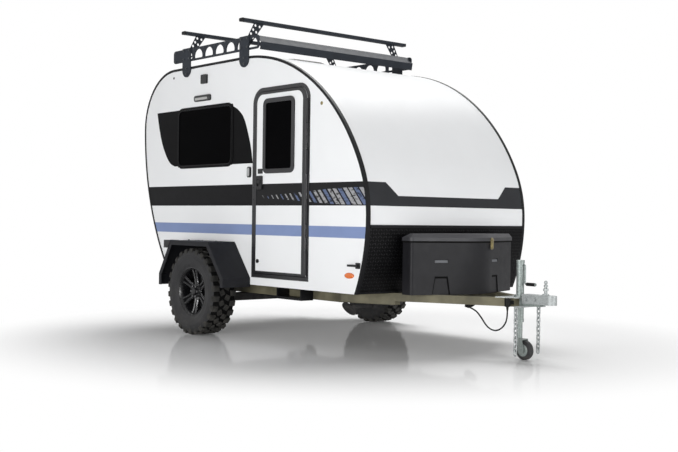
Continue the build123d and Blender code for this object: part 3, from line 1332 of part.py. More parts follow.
with BuildPart() as plug_holder:
    holder_low = plug_low.Z + HOLDER_LIFT
    with BuildSketch(Plane.XY.offset(holder_low)):
        rear_station = BODY_LENGTH + CABLE_ROUTE[-1][0] - HOLDER_REAR
        with BuildLine():
            Polyline((at(rear_station), -tongue_outside(rear_station)),
                     (at(TONGUE_END), -tongue_outside(TONGUE_END)),
                     (at(TONGUE_END), plug_low.Y + PLUG_RADIUS + FACE_GAP),
                     (at(rear_station), plug_low.Y + PLUG_RADIUS + FACE_GAP), close=True)
        make_face()
    extrude(amount=HOLDER_TALL)
keep(plug_holder, "plug_holder")
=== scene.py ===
"""Looks of a small single-axle travel trailer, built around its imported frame. All sizes are in metres."""
import json
import logging
import math
from dataclasses import dataclass, field
from enum import Enum
from typing import Any, Callable, Dict, List, Optional, Sequence, Tuple, Union

import bmesh
import bpy
from mathutils import Matrix, Vector

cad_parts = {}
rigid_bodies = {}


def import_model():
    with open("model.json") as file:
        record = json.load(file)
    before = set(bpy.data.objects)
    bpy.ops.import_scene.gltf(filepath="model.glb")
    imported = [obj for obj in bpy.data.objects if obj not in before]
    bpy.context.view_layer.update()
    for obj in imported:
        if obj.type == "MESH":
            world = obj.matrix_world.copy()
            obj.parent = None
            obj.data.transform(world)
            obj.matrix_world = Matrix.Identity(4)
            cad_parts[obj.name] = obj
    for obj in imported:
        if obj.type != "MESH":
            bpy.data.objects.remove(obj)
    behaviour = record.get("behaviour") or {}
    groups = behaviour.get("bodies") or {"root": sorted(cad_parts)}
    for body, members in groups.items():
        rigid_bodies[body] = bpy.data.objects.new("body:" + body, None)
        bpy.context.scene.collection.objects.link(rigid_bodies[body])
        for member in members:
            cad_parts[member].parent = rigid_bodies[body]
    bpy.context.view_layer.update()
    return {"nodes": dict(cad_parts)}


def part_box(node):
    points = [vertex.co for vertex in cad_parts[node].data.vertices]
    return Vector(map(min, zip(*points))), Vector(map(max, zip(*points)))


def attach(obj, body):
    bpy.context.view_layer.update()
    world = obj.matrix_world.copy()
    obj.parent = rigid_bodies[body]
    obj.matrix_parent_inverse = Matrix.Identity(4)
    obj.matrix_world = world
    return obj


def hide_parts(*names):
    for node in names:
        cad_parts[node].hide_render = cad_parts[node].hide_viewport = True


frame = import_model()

LOG = logging.getLogger("trailer")

Colour = Tuple[float, float, float]
Point = Tuple[float, float, float]
Flat = Tuple[float, float]
Placer = Callable[[float, float, float], Point]
Mesh = bmesh.types.BMesh
Settings = Optional[Dict[str, Any]]
Sockets = Optional[Dict[Union[int, str], Any]]

REARMOST = -2.115        # X of the rearmost point
BODY_LENGTH = 3.210
HALF_BODY = 0.875        # half-width over the side walls
DOOR_FACE = 0.879        # distance of the door's outer face from the middle
DECAL = 0.0008           # thickness of a vinyl strip
VINYL = (0.0, DECAL)     # its lower and upper face
WHITE = (1.0, 1.0, 1.0, 1.0)
TRAILER = "trailer"
SIDES = (("right", -1), ("left", 1))  # name, sign of Y
UP = Vector((0.0, 0.0, 1.0))
DUST: Colour = (0.36, 0.33, 0.29)


def at(station: float) -> float:
    """X of a point given by its distance ahead of the rearmost point."""
    return REARMOST + station


def on_side(place: Flat) -> Flat:
    """X and Z of a point on a side wall, given by its station and height."""
    return (at(place[0]), place[1])


def sideways(side: float) -> Vector:
    """Direction out to the right (-1) or left (1) side."""
    return Vector((0.0, side, 0.0))


def show(made: bpy.types.Object) -> bpy.types.Object:
    """Link a new object to the scene and hand it back."""
    bpy.context.scene.collection.objects.link(made)
    return made


def levels(low: float, high: float, steps: int = 8) -> List[float]:
    """Even steps from low to high, with both ends."""
    return [low + (high - low) * step / steps for step in range(steps + 1)]


def turns(count: int, start: float = 0.0) -> List[float]:
    """Angles of equal steps round a full turn, the first moved on by a share of a step."""
    return [2.0 * math.pi * (index + start) / count for index in range(count)]


class Wire:
    """A shader socket with arithmetic: each operation adds one Math node."""

    def __init__(self, tree: "ShaderTree", socket: bpy.types.NodeSocket) -> None:
        self.tree = tree
        self.socket = socket

    def math(self, operation: str, first: Any, second: Any = None) -> "Wire":
        """Add one Math node.

        Args:
            operation: Blender's name of the operation.
            first: first operand, a wire or a number.
            second: second operand, where the operation has one.

        Returns:
            The node's result.
        """
        return self.tree.node("ShaderNodeMath", {"operation": operation}, {0: first, 1: second})

    def __add__(self, other: Any) -> "Wire":
        """Sum."""
        return self.math("ADD", self, other)

    __radd__ = __add__

    def __sub__(self, other: Any) -> "Wire":
        """Difference."""
        return self.math("SUBTRACT", self, other)

    def __rsub__(self, other: Any) -> "Wire":
        """Reflected difference."""
        return self.math("SUBTRACT", other, self)

    def __mul__(self, other: Any) -> "Wire":
        """Product."""
        return self.math("MULTIPLY", self, other)

    __rmul__ = __mul__

    def __gt__(self, other: Any) -> "Wire":
        """1 where this is more than the other."""
        return self.math("GREATER_THAN", self, other)

    def __lt__(self, other: Any) -> "Wire":
        """1 where this is less than the other."""
        return self.math("LESS_THAN", self, other)

    def fraction(self) -> "Wire":
        """What is left after whole numbers."""
        return self.math("FRACT", self)

    def size(self) -> "Wire":
        """Absolute value."""
        return self.math("ABSOLUTE", self)

    def smooth(self, low: float, high: float) -> "Wire":
        """Soft step from 0 at low to 1 at high."""
        return self.tree.node("ShaderNodeMapRange", {"interpolation_type": "SMOOTHSTEP"},
                              {"Value": self, "From Min": low, "From Max": high})


class NodeTree:
    """A tree of nodes."""

    def __init__(self, tree: bpy.types.NodeTree) -> None:
        self.tree = tree

    def add(self, kind: str, settings: Settings = None, sockets: Sockets = None) -> bpy.types.Node:
        """Add a node.

        Args:
            kind: the node's type.
            settings: its own settings, set first.
            sockets: values, wires or outputs for its inputs, by index or name.

        Returns:
            The node.
        """
        made = self.tree.nodes.new(kind)
        for key, value in (settings or {}).items():
            setattr(made, key, value)
        for key, value in (sockets or {}).items():
            self.feed(made.inputs[key], value)
        return made

    def feed(self, socket: bpy.types.NodeSocket, value: Any) -> None:
        """Link a wire or an output to a socket, or set its value."""
        source = value.socket if isinstance(value, Wire) else value
        if isinstance(source, bpy.types.NodeSocket):
            self.tree.links.new(source, socket)
        elif value is not None:
            socket.default_value = (*value, 1.0) if socket.type == "RGBA" and len(value) == 3 else value


class ShaderTree(NodeTree):
    """The nodes of one material."""

    def __init__(self, name: str) -> None:
        self.material = bpy.data.materials.new(name)
        self.material.use_nodes = True
        super().__init__(self.material.node_tree)
        self.surface = self.tree.nodes["Principled BSDF"]

    def node(self, kind: str, settings: Settings = None, sockets: Sockets = None,
             output: Union[int, str] = 0) -> Wire:
        """Add a node and hand back one of its outputs as a wire."""
        return Wire(self, self.add(kind, settings, sockets).outputs[output])

    def place(self) -> Wire:
        """Object coordinates."""
        return self.node("ShaderNodeTexCoord", output="Object")

    def axes(self) -> Tuple[Wire, Wire, Wire]:
        """Object coordinates as three separate values."""
        split = self.add("ShaderNodeSeparateXYZ", sockets={0: self.place()})
        return tuple(Wire(self, split.outputs[index]) for index in range(3))

    def noise(self, scale: float, detail: float = 3.0, stretch: Optional[Point] = None) -> Wire:
        """Soft noise from 0 to 1.

        Args:
            scale: repeats per metre.
            detail: octaves.
            stretch: scale of each axis, for a grain with a direction.

        Returns:
            The noise value.
        """
        place = self.place()
        if stretch:
            place = self.node("ShaderNodeMapping", sockets={"Vector": place, "Scale": stretch})
        return self.node("ShaderNodeTexNoise", sockets={"Vector": place, "Scale": scale, "Detail": detail})

    def cells(self, scale: float, output: str = "Distance") -> Wire:
        """Cell pattern, by its distance or its colour."""
        sockets = {"Vector": self.place(), "Scale": scale}
        return self.node("ShaderNodeTexVoronoi", sockets=sockets, output=output)

    def mix(self, factor: Any, first: Any, second: Any) -> Wire:
        """Blend of two colours."""
        return self.node("ShaderNodeMix", {"data_type": "RGBA"}, {0: factor, 6: first, 7: second}, output=2)

    def bump(self, height: Wire, strength: float, distance: float) -> Wire:
        """Normal bent by a height.

        Args:
            height: the height, 0 to 1.
            strength: share of the effect.
            distance: real height in metres.

        Returns:
            The normal.
        """
        sockets = {"Height": height, "Strength": strength, "Distance": distance}
        return self.node("ShaderNodeBump", sockets=sockets)

    def shade(self, **sockets: Any) -> bpy.types.Material:
        """Set the surface's sockets, by name with _ for a space, and hand back the material."""
        for key, value in sockets.items():
            self.feed(self.surface.inputs[key.replace("_", " ")], value)
        return self.material


class Grain(Enum):
    """Fine relief of a finish."""

    PEEL = "orange peel of sprayed or rolled paint"
    LEATHER = "moulded leather grain"
    BRUSHED = "long fine scratches"
    SPANGLE = "zinc crystals"
    RUBBER = "fine rubber skin"


def shift(colour: Colour, share: float) -> Colour:
    """Colour made lighter or darker by a share."""
    return tuple(min(1.0, max(0.0, part * (1.0 + share))) for part in colour)


@dataclass(frozen=True)
class Finish:
    """A finish with soft drift of its colour, fine relief, wear of its gloss and dust near the ground."""

    name: str
    colour: Colour
    roughness: float
    metallic: float = 0.0
    drift: float = 0.08
    drift_scale: float = 7.0
    grain: Grain = Grain.PEEL
    grain_scale: float = 420.0
    relief: float = 0.12
    depth: float = 0.0006
    dust: float = 0.0
    dust_top: float = 0.5
    specular: float = 0.5

    def relief_of(self, tree: ShaderTree) -> Wire:
        """Height of the fine relief."""
        if self.grain is Grain.LEATHER:
            return tree.cells(self.grain_scale).smooth(0.0, 0.45)
        if self.grain is Grain.BRUSHED:
            return tree.noise(self.grain_scale, 2.0, (0.04, 1.0, 1.0))
        return tree.noise(self.grain_scale, 2.0)

    def base_of(self, tree: ShaderTree) -> Wire:
        """Base colour before dust."""
        blotch = tree.noise(self.drift_scale, 4.0)
        if self.grain is Grain.SPANGLE:
            grey = tree.node("ShaderNodeSeparateColor", sockets={0: tree.cells(self.grain_scale, "Color")})
            blotch = 0.55 * grey + 0.45 * blotch
        dark, light = (shift(self.colour, share) for share in (-self.drift, self.drift))
        return tree.mix(blotch.smooth(0.25, 0.75), dark, light)

    def build(self) -> bpy.types.Material:
        """Make the material."""
        tree = ShaderTree(self.name)
        wear = tree.noise(self.drift_scale * 2.3, 5.0)
        base = self.base_of(tree)
        rough = self.roughness + 0.16 * (wear - 0.5)
        if self.dust:
            height = tree.axes()[2]
            low = 1.0 - height.smooth(0.0, self.dust_top)
            cover = low * wear.smooth(0.35, 0.8) * self.dust
            base = tree.mix(cover, base, DUST)
            rough = rough + 0.3 * cover
        return tree.shade(Base_Color=base, Roughness=rough, Metallic=self.metallic,
                          Specular_IOR_Level=self.specular,
                          Normal=tree.bump(self.relief_of(tree), self.relief, self.depth))


@dataclass(frozen=True)
class PaneFinish:
    """Dark tinted glass, nearly black, with faint smears in its gloss."""

    name: str = "tinted_pane"
    colour: Colour = (0.0012, 0.0012, 0.0014)

    def build(self) -> bpy.types.Material:
        """Make the material."""
        tree = ShaderTree(self.name)
        smear = tree.noise(3.0, 4.0, (1.0, 1.0, 2.5))
        return tree.shade(Base_Color=tree.mix(smear, self.colour, shift(self.colour, 0.9)),
                          Roughness=0.05 + 0.06 * smear, Specular_IOR_Level=0.005)


@dataclass(frozen=True)
class LensFinish:
    """Moulded lamp lens with fine prisms and a faint glow of its own colour."""

    name: str
    colour: Colour
    pitch: float = 0.006

    def build(self) -> bpy.types.Material:
        """Make the material."""
        tree = ShaderTree(self.name)
        along, across, height = tree.axes()
        prism = ((along + across) * (1.0 / self.pitch)).fraction() - 0.5
        rib = (height * (1.0 / self.pitch)).fraction() - 0.5
        relief = prism.size() + rib.size()
        base = tree.mix(relief.smooth(0.2, 0.9), shift(self.colour, -0.25), shift(self.colour, 0.25))
        return tree.shade(Base_Color=base, Roughness=0.16, Coat_Weight=0.6, Emission_Color=base,
                          Emission_Strength=0.12, Normal=tree.bump(relief, 0.35, 0.001))


@dataclass(frozen=True)
class SlatFinish:
    """Charcoal vinyl with a printed row of slanted bars in grey and slate blue, wider toward the front."""

    name: str
    start: float
    end: float
    low: float
    high: float
    pitch: float = 0.062
    lean: float = 0.9
    width: Flat = (0.18, 0.56)    # of a bar as a share of the pitch: at the start, and its gain
    reach: Flat = (0.012, 0.052)  # of a bar up and down: at the start, and its gain
    middle: float = 0.40          # height of the row's middle as a share of the strip
    colour: Colour = (0.009, 0.009, 0.010)
    grey: Colour = (0.34, 0.34, 0.35)
    blue: Colour = (0.115, 0.15, 0.26)

    def build(self) -> bpy.types.Material:
        """Make the material."""
        tree = ShaderTree(self.name)
        along, _, height = tree.axes()
        count = (along + self.lean * height) * (1.0 / self.pitch)
        growth = along.smooth(self.start, self.end)
        width, reach = (start + gain * growth for start, gain in (self.width, self.reach))
        bar = count.fraction() < width
        third = (count * (1.0 / 3.0)).fraction() < 0.34
        middle = self.low + self.middle * (self.high - self.low)
        field_mask = (height - middle).size() < reach
        worn = tree.noise(46.0, 5.0, (0.5, 1.0, 1.6)).smooth(0.30, 0.52)
        show = bar * field_mask * worn * (along > self.start)
        tint = tree.mix(third, self.grey, self.blue)
        base = tree.mix(show * 0.9, self.colour, tint)
        return tree.shade(Base_Color=base, Roughness=0.36 + 0.1 * tree.noise(9.0), Specular_IOR_Level=0.12)


class Finishes:
    """Every finish of the trailer, made once."""

    def __init__(self) -> None:
        plain = (
            Finish("gelcoat_white", (0.78, 0.79, 0.80), 0.42, specular=0.35, drift=0.012, drift_scale=2.2,
                   relief=0.05, grain_scale=160.0, dust=0.06, dust_top=0.7),
            Finish("floor_board", (0.05, 0.045, 0.04), 0.8, drift=0.25, dust=0.4),
            Finish("satin_trim", (0.006, 0.006, 0.007), 0.42, drift=0.2, relief=0.1, specular=0.14),
            Finish("door_trim_grey", (0.016, 0.016, 0.018), 0.36, drift=0.15, relief=0.1, specular=0.42),
            Finish("pane_frame_black", (0.0035, 0.0035, 0.004), 0.42, drift=0.15, relief=0.08,
                   specular=0.06),
            Finish("guard_black", (0.0026, 0.0026, 0.003), 0.36, drift=0.25, relief=0.12, specular=0.08,
                   dust=0.02, dust_top=0.9),
            # the plate's black made lighter and glossier for the raised lumps: painted highlight
            Finish("guard_lump_painted_highlight", (0.005, 0.005, 0.006), 0.3, drift=0.2, relief=0.06, specular=0.2),
            Finish("vinyl_dark", (0.006, 0.006, 0.007), 0.40, drift=0.1, relief=0.03, specular=0.08),
            Finish("vinyl_black", (0.004, 0.004, 0.0045), 0.40, drift=0.1, relief=0.03, specular=0.035),
            Finish("vinyl_charcoal", (0.019, 0.020, 0.023), 0.42, drift=0.08, relief=0.03, specular=0.16),
            Finish("vinyl_blue", (0.187, 0.248, 0.435), 0.42, drift=0.03, relief=0.03, specular=0.3),
            Finish("powder_coat", (0.009, 0.0095, 0.012), 0.55, drift=0.15, relief=0.4, grain_scale=700.0,
                   specular=0.2, dust=0.03, dust_top=0.8),
            Finish("rack_coat", (0.020, 0.024, 0.031), 0.55, drift=0.12, relief=0.35, grain_scale=700.0,
                   specular=0.18),
            Finish("zinc", (0.215, 0.245, 0.235), 0.46, metallic=0.45, drift=0.16, grain=Grain.SPANGLE,
                   grain_scale=120.0, relief=0.05, dust=0.12, specular=0.4),
            Finish("bright_zinc", (0.33, 0.35, 0.35), 0.5, metallic=0.4, drift=0.14, grain=Grain.SPANGLE,
                   grain_scale=160.0, relief=0.05, specular=0.4),
            Finish("tan_steel", (0.112, 0.103, 0.066), 0.6, metallic=0.2, drift=0.45, drift_scale=5.0,
                   relief=0.2, dust=0.2, dust_top=0.6, specular=0.3),
            Finish("tread_rubber", (0.021, 0.0205, 0.019), 0.7, drift=0.3, drift_scale=12.0,
                   grain=Grain.RUBBER, grain_scale=600.0, relief=0.3, dust=0.10, dust_top=0.75,
                   specular=0.25),
            Finish("wall_rubber", (0.019, 0.019, 0.0205), 0.62, drift=0.2, drift_scale=9.0,
                   grain=Grain.RUBBER, grain_scale=500.0, relief=0.25, dust=0.06, dust_top=0.75,
                   specular=0.3),
            # near-black rubber: painted shade in the tread's grooves, the foot recesses and the lid's gap,
            # and the black sheets inside the fenders
            Finish("black_rubber_and_painted_shade", (0.003, 0.003, 0.003), 0.9, drift=0.2, grain=Grain.RUBBER, relief=0.2,
                   specular=0.1),
            Finish("alloy_black", (0.006, 0.006, 0.007), 0.26, drift=0.2, relief=0.04, specular=0.4),
            Finish("alloy_bright", (0.16, 0.16, 0.165), 0.28, metallic=0.85, drift=0.1, grain=Grain.BRUSHED,
                   relief=0.1),
            Finish("box_moulding", (0.006, 0.006, 0.0078), 0.5, drift=0.1, grain=Grain.LEATHER,
                   grain_scale=260.0, relief=0.3, depth=0.0008, specular=0.2, dust=0.02, dust_top=0.9),
            # the box's plastic made lighter for the lid: painted highlight on the lid's top
            Finish("lid_moulding_painted_highlight", (0.024, 0.024, 0.028), 0.5, drift=0.1, grain=Grain.LEATHER,
                   grain_scale=260.0, relief=0.3, depth=0.0008, specular=0.4),
            # pale plates on the tool box's grips: painted highlight
            Finish("grip_painted_highlight", (0.11, 0.115, 0.125), 0.55, drift=0.08, grain=Grain.LEATHER,
                   grain_scale=260.0, relief=0.3, specular=0.3),
            Finish("lamp_black", (0.008, 0.008, 0.009), 0.34, drift=0.1, relief=0.05, specular=0.35),
            Finish("cord_rubber", (0.004, 0.004, 0.004), 0.5, drift=0.2, grain=Grain.RUBBER,
                   grain_scale=800.0, specular=0.14),
            Finish("brass_plate", (0.22, 0.185, 0.09), 0.38, metallic=0.7, drift=0.25, grain=Grain.BRUSHED,
                   relief=0.12),
            Finish("steel_pale", (0.40, 0.41, 0.41), 0.34, metallic=0.8, drift=0.12, grain=Grain.BRUSHED,
                   relief=0.1),
            Finish("bolt_dark", (0.06, 0.065, 0.07), 0.4, metallic=0.6, drift=0.2, relief=0.1),
            Finish("caster_tread", (0.018, 0.018, 0.019), 0.6, drift=0.2, grain=Grain.RUBBER, relief=0.25,
                   dust=0.15, dust_top=0.15, specular=0.3),
            Finish("axle_paint", (0.008, 0.008, 0.009), 0.55, drift=0.3, relief=0.25, specular=0.3,
                   dust=0.2, dust_top=0.6),
            Finish("smoked_dome", (0.007, 0.007, 0.008), 0.2, drift=0.2, relief=0.03, specular=0.3),
        )
        special = (
            PaneFinish(),
            LensFinish("amber_lens", (0.60, 0.125, 0.008)),
            LensFinish("red_lens", (0.22, 0.008, 0.008)),
            LensFinish("clear_lens", (0.30, 0.30, 0.29)),
            SlatFinish("vinyl_slats", at(1.90), at(3.05), 1.106, 1.283),
        )
        self.made: Dict[str, bpy.types.Material] = {each.name: each.build() for each in (*plain, *special)}

    def __getitem__(self, name: str) -> bpy.types.Material:
        """Material by the name of its finish."""
        return self.made[name]


class Maker:
    """Turns meshes into finished pieces that ride on the frame."""

    def __init__(self, finishes: Finishes) -> None:
        self.finishes = finishes

    def piece(self, name: str, mesh: Mesh, finish: str, slot: str, body: str = TRAILER,
              merge: float = 1e-5) -> bpy.types.Object:
        """Make one finished piece.

        Args:
            name: the piece's name.
            mesh: its mesh, in the frame's coordinates.
            finish: name of its finish.
            slot: the record's material slot, not used.
            body: the body it rides on.
            merge: distance within which doubled points are merged.

        Returns:
            The new object.
        """
        if merge:
            bmesh.ops.remove_doubles(mesh, verts=mesh.verts, dist=merge)
        bmesh.ops.recalc_face_normals(mesh, faces=mesh.faces)
        data = bpy.data.meshes.new(name)
        mesh.to_mesh(data)
        mesh.free()
        return self.adopt(name, data, finish, slot, body)

    def adopt(self, name: str, data: bpy.types.Mesh, finish: str, slot: str, body: str,
              smooth_deg: float = 32.0) -> bpy.types.Object:
        """Make a finished piece from a mesh that is already whole."""
        if not data.materials:
            data.materials.append(self.finishes[finish])
        data.shade_smooth()
        data.set_sharp_from_angle(angle=math.radians(smooth_deg))
        made = show(bpy.data.objects.new(name, data))
        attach(made, body)
        LOG.info("piece %s on %s, %d faces", name, body, len(data.polygons))
        return made

    def plate(self, name: str, outline: Sequence[Flat], place: Placer, heights: Flat, finish: str, slot: str,
              body: str = TRAILER, holes: Sequence[Sequence[Flat]] = ()) -> bpy.types.Object:
        """Make a flat piece of even thickness.

        Args:
            name: the piece's name.
            outline: its outer loop.
            place: gives the point for the two flat coordinates and a height.
            heights: heights of its lower and upper face.
            finish: name of its finish.
            slot: the record's material slot, not used.
            body: the body it rides on.
            holes: its inner loops.

        Returns:
            The new object.
        """
        mesh = bmesh.new()
        slab(mesh, outline, place, *heights, holes)
        return self.piece(name, mesh, finish, slot, body)


def ring_loop(mesh: Mesh, loops: Sequence[Sequence[Point]], closed: bool = True,
              wrap: bool = False, caps: bool = False) -> None:
    """Skin a row of equal point loops with quads.

    Args:
        mesh: the mesh to add to.
        loops: the loops, each with the same number of points.
        closed: whether each loop closes on itself.
        wrap: whether the last loop joins the first.
        caps: whether the two end loops are filled.
    """
    rows = [[mesh.verts.new(point) for point in loop] for loop in loops]
    pairs = list(zip(rows, rows[1:])) + ([(rows[-1], rows[0])] if wrap else [])
    for one, two in pairs:
        count = len(one)
        for index in range(count if closed else count - 1):
            after = (index + 1) % count
            mesh.faces.new((one[index], one[after], two[after], two[index]))
    if caps:
        mesh.faces.new(rows[0])
        mesh.faces.new(list(reversed(rows[-1])))


def turned(mesh: Mesh, profile: Sequence[Flat], centre: Vector, axis: Vector, segments: int,
           closed: bool = True) -> None:
    """Turn a profile round an axis.

    Args:
        mesh: the mesh to add to.
        profile: points as distance along the axis and radius.
        centre: a point on the axis where the distance is 0.
        axis: the axis' direction.
        segments: steps of a full turn.
        closed: whether the profile is a closed loop.
    """
    ahead = axis.normalized()
    side = ahead.orthogonal().normalized()
    other = ahead.cross(side)
    loops = []
    for turn in turns(segments):
        away = side * math.cos(turn) + other * math.sin(turn)
        loops.append([tuple(centre + ahead * along + away * radius) for along, radius in profile])
    ring_loop(mesh, loops, closed=closed, wrap=True)


def slab(mesh: Mesh, outline: Sequence[Flat], place: Placer,
         low: float, high: float, holes: Sequence[Sequence[Flat]] = ()) -> None:
    """Fill a flat outline, with holes if any, and give it thickness.

    Args:
        mesh: the mesh to add to.
        outline: the outer loop.
        place: gives the point for the two flat coordinates and a height.
        low: height of the lower face.
        high: height of the upper face.
        holes: inner loops.
    """
    scratch = bmesh.new()
    for loop in (outline, *holes):
        points = [scratch.verts.new((one, two, 0.0)) for one, two in loop]
        for index, point in enumerate(points):
            scratch.edges.new((point, points[(index + 1) % len(points)]))
    bmesh.ops.triangle_fill(scratch, edges=scratch.edges, use_beauty=True, use_dissolve=False,
                            normal=(0, 0, 1))
    grown = bmesh.ops.extrude_face_region(scratch, geom=scratch.faces[:])
    for point in (item for item in grown["geom"] if isinstance(item, bmesh.types.BMVert)):
        point.co.z = 1.0
    lookup = {}
    for point in scratch.verts:
        lookup[point] = mesh.verts.new(place(point.co.x, point.co.y, high if point.co.z > 0.5 else low))
    for face in scratch.faces:
        mesh.faces.new([lookup[point] for point in face.verts])
    scratch.free()


def rounded(wide: float, tall: float, corner: float, middle: Flat = (0.0, 0.0), steps: int = 6) -> List[Flat]:
    """Rounded rectangle as a list of points."""
    points = []
    for index, (one, two) in enumerate(((1, 1), (-1, 1), (-1, -1), (1, -1))):
        for step in range(steps + 1):
            turn = math.radians(90.0 * (index + step / steps))
            points.append((middle[0] + one * (wide / 2 - corner) + corner * math.cos(turn),
                           middle[1] + two * (tall / 2 - corner) + corner * math.sin(turn)))
    return points


def spline(points: Sequence[Flat], steps: int = 8) -> List[Flat]:
    """Smooth line through the points."""
    line = []
    padded = [points[0], *points, points[-1]]
    for a, b, c, d in zip(padded, padded[1:], padded[2:], padded[3:]):
        for step in range(steps):
            t = step / steps
            line.append(tuple(0.5 * (2 * b[k] + (c[k] - a[k]) * t
                                     + (2 * a[k] - 5 * b[k] + 4 * c[k] - d[k]) * t ** 2
                                     + (3 * b[k] - a[k] - 3 * c[k] + d[k]) * t ** 3) for k in (0, 1)))
    return [*line, points[-1]]


def wall(side: int, distance: float = HALF_BODY) -> Placer:
    """Places flat X and Z on the right (-1) or left (1) side, that far from the middle, thickness outward."""
    return lambda along, height, out: (along, side * (distance + out), height)


class StampTree(NodeTree):
    """A Geometry Nodes tree that stamps one small form on every point of a mesh."""

    def __init__(self, name: str) -> None:
        super().__init__(bpy.data.node_groups.new(name, "GeometryNodeTree"))
        face = self.tree.interface
        face.new_socket("Geometry", in_out="OUTPUT", socket_type="NodeSocketGeometry")
        face.new_socket("Geometry", in_out="INPUT", socket_type="NodeSocketGeometry")
        finish = face.new_socket("Finish", in_out="INPUT", socket_type="NodeSocketMaterial")
        self.finish_id = finish.identifier
        self.ids: Dict[str, str] = {}
        self.entry: Optional[bpy.types.Node] = None

    def size(self, name: str, value: float) -> None:
        """Add a named size to the tree's inputs, before any node is made."""
        socket = self.tree.interface.new_socket(name, in_out="INPUT", socket_type="NodeSocketFloat")
        socket.default_value = value
        self.ids[name] = socket.identifier

    def given(self, name: str) -> bpy.types.NodeSocket:
        """One of the tree's inputs."""
        if self.entry is None:
            self.entry = self.add("NodeGroupInput")
        return self.entry.outputs[name]

    def close(self, form: bpy.types.NodeSocket) -> "StampTree":
        """Stamp the form on the points, turned and sized by their attributes, and end the tree."""
        turn = self.add("GeometryNodeInputNamedAttribute", {"data_type": "FLOAT_VECTOR"}, {"Name": "turn"})
        scale = self.add("GeometryNodeInputNamedAttribute", {"data_type": "FLOAT_VECTOR"}, {"Name": "scale"})
        spin = self.add("FunctionNodeEulerToRotation", sockets={0: turn.outputs["Attribute"]})
        stamps = self.add("GeometryNodeInstanceOnPoints", sockets={
            "Points": self.given("Geometry"), "Instance": form, "Rotation": spin.outputs[0],
            "Scale": scale.outputs["Attribute"]})
        real = self.add("GeometryNodeRealizeInstances", sockets={0: stamps.outputs[0]})
        dressed = self.add("GeometryNodeSetMaterial", sockets={
            "Geometry": real.outputs[0], "Material": self.given("Finish")})
        self.add("NodeGroupOutput", sockets={0: dressed.outputs[0]})
        return self


@dataclass(frozen=True)
class Spot:
    """Where one stamped form goes: its place, its turn and its size along its own axes."""

    place: Point
    turn: Matrix
    scale: Point = (1.0, 1.0, 1.0)


def facing(way: Sequence[float], spin: float = 0.0) -> Matrix:
    """Turn that takes Z to that direction, spun about it first."""
    return Vector(way).to_track_quat("Z", "Y").to_matrix() @ Matrix.Rotation(spin, 3, "Z")


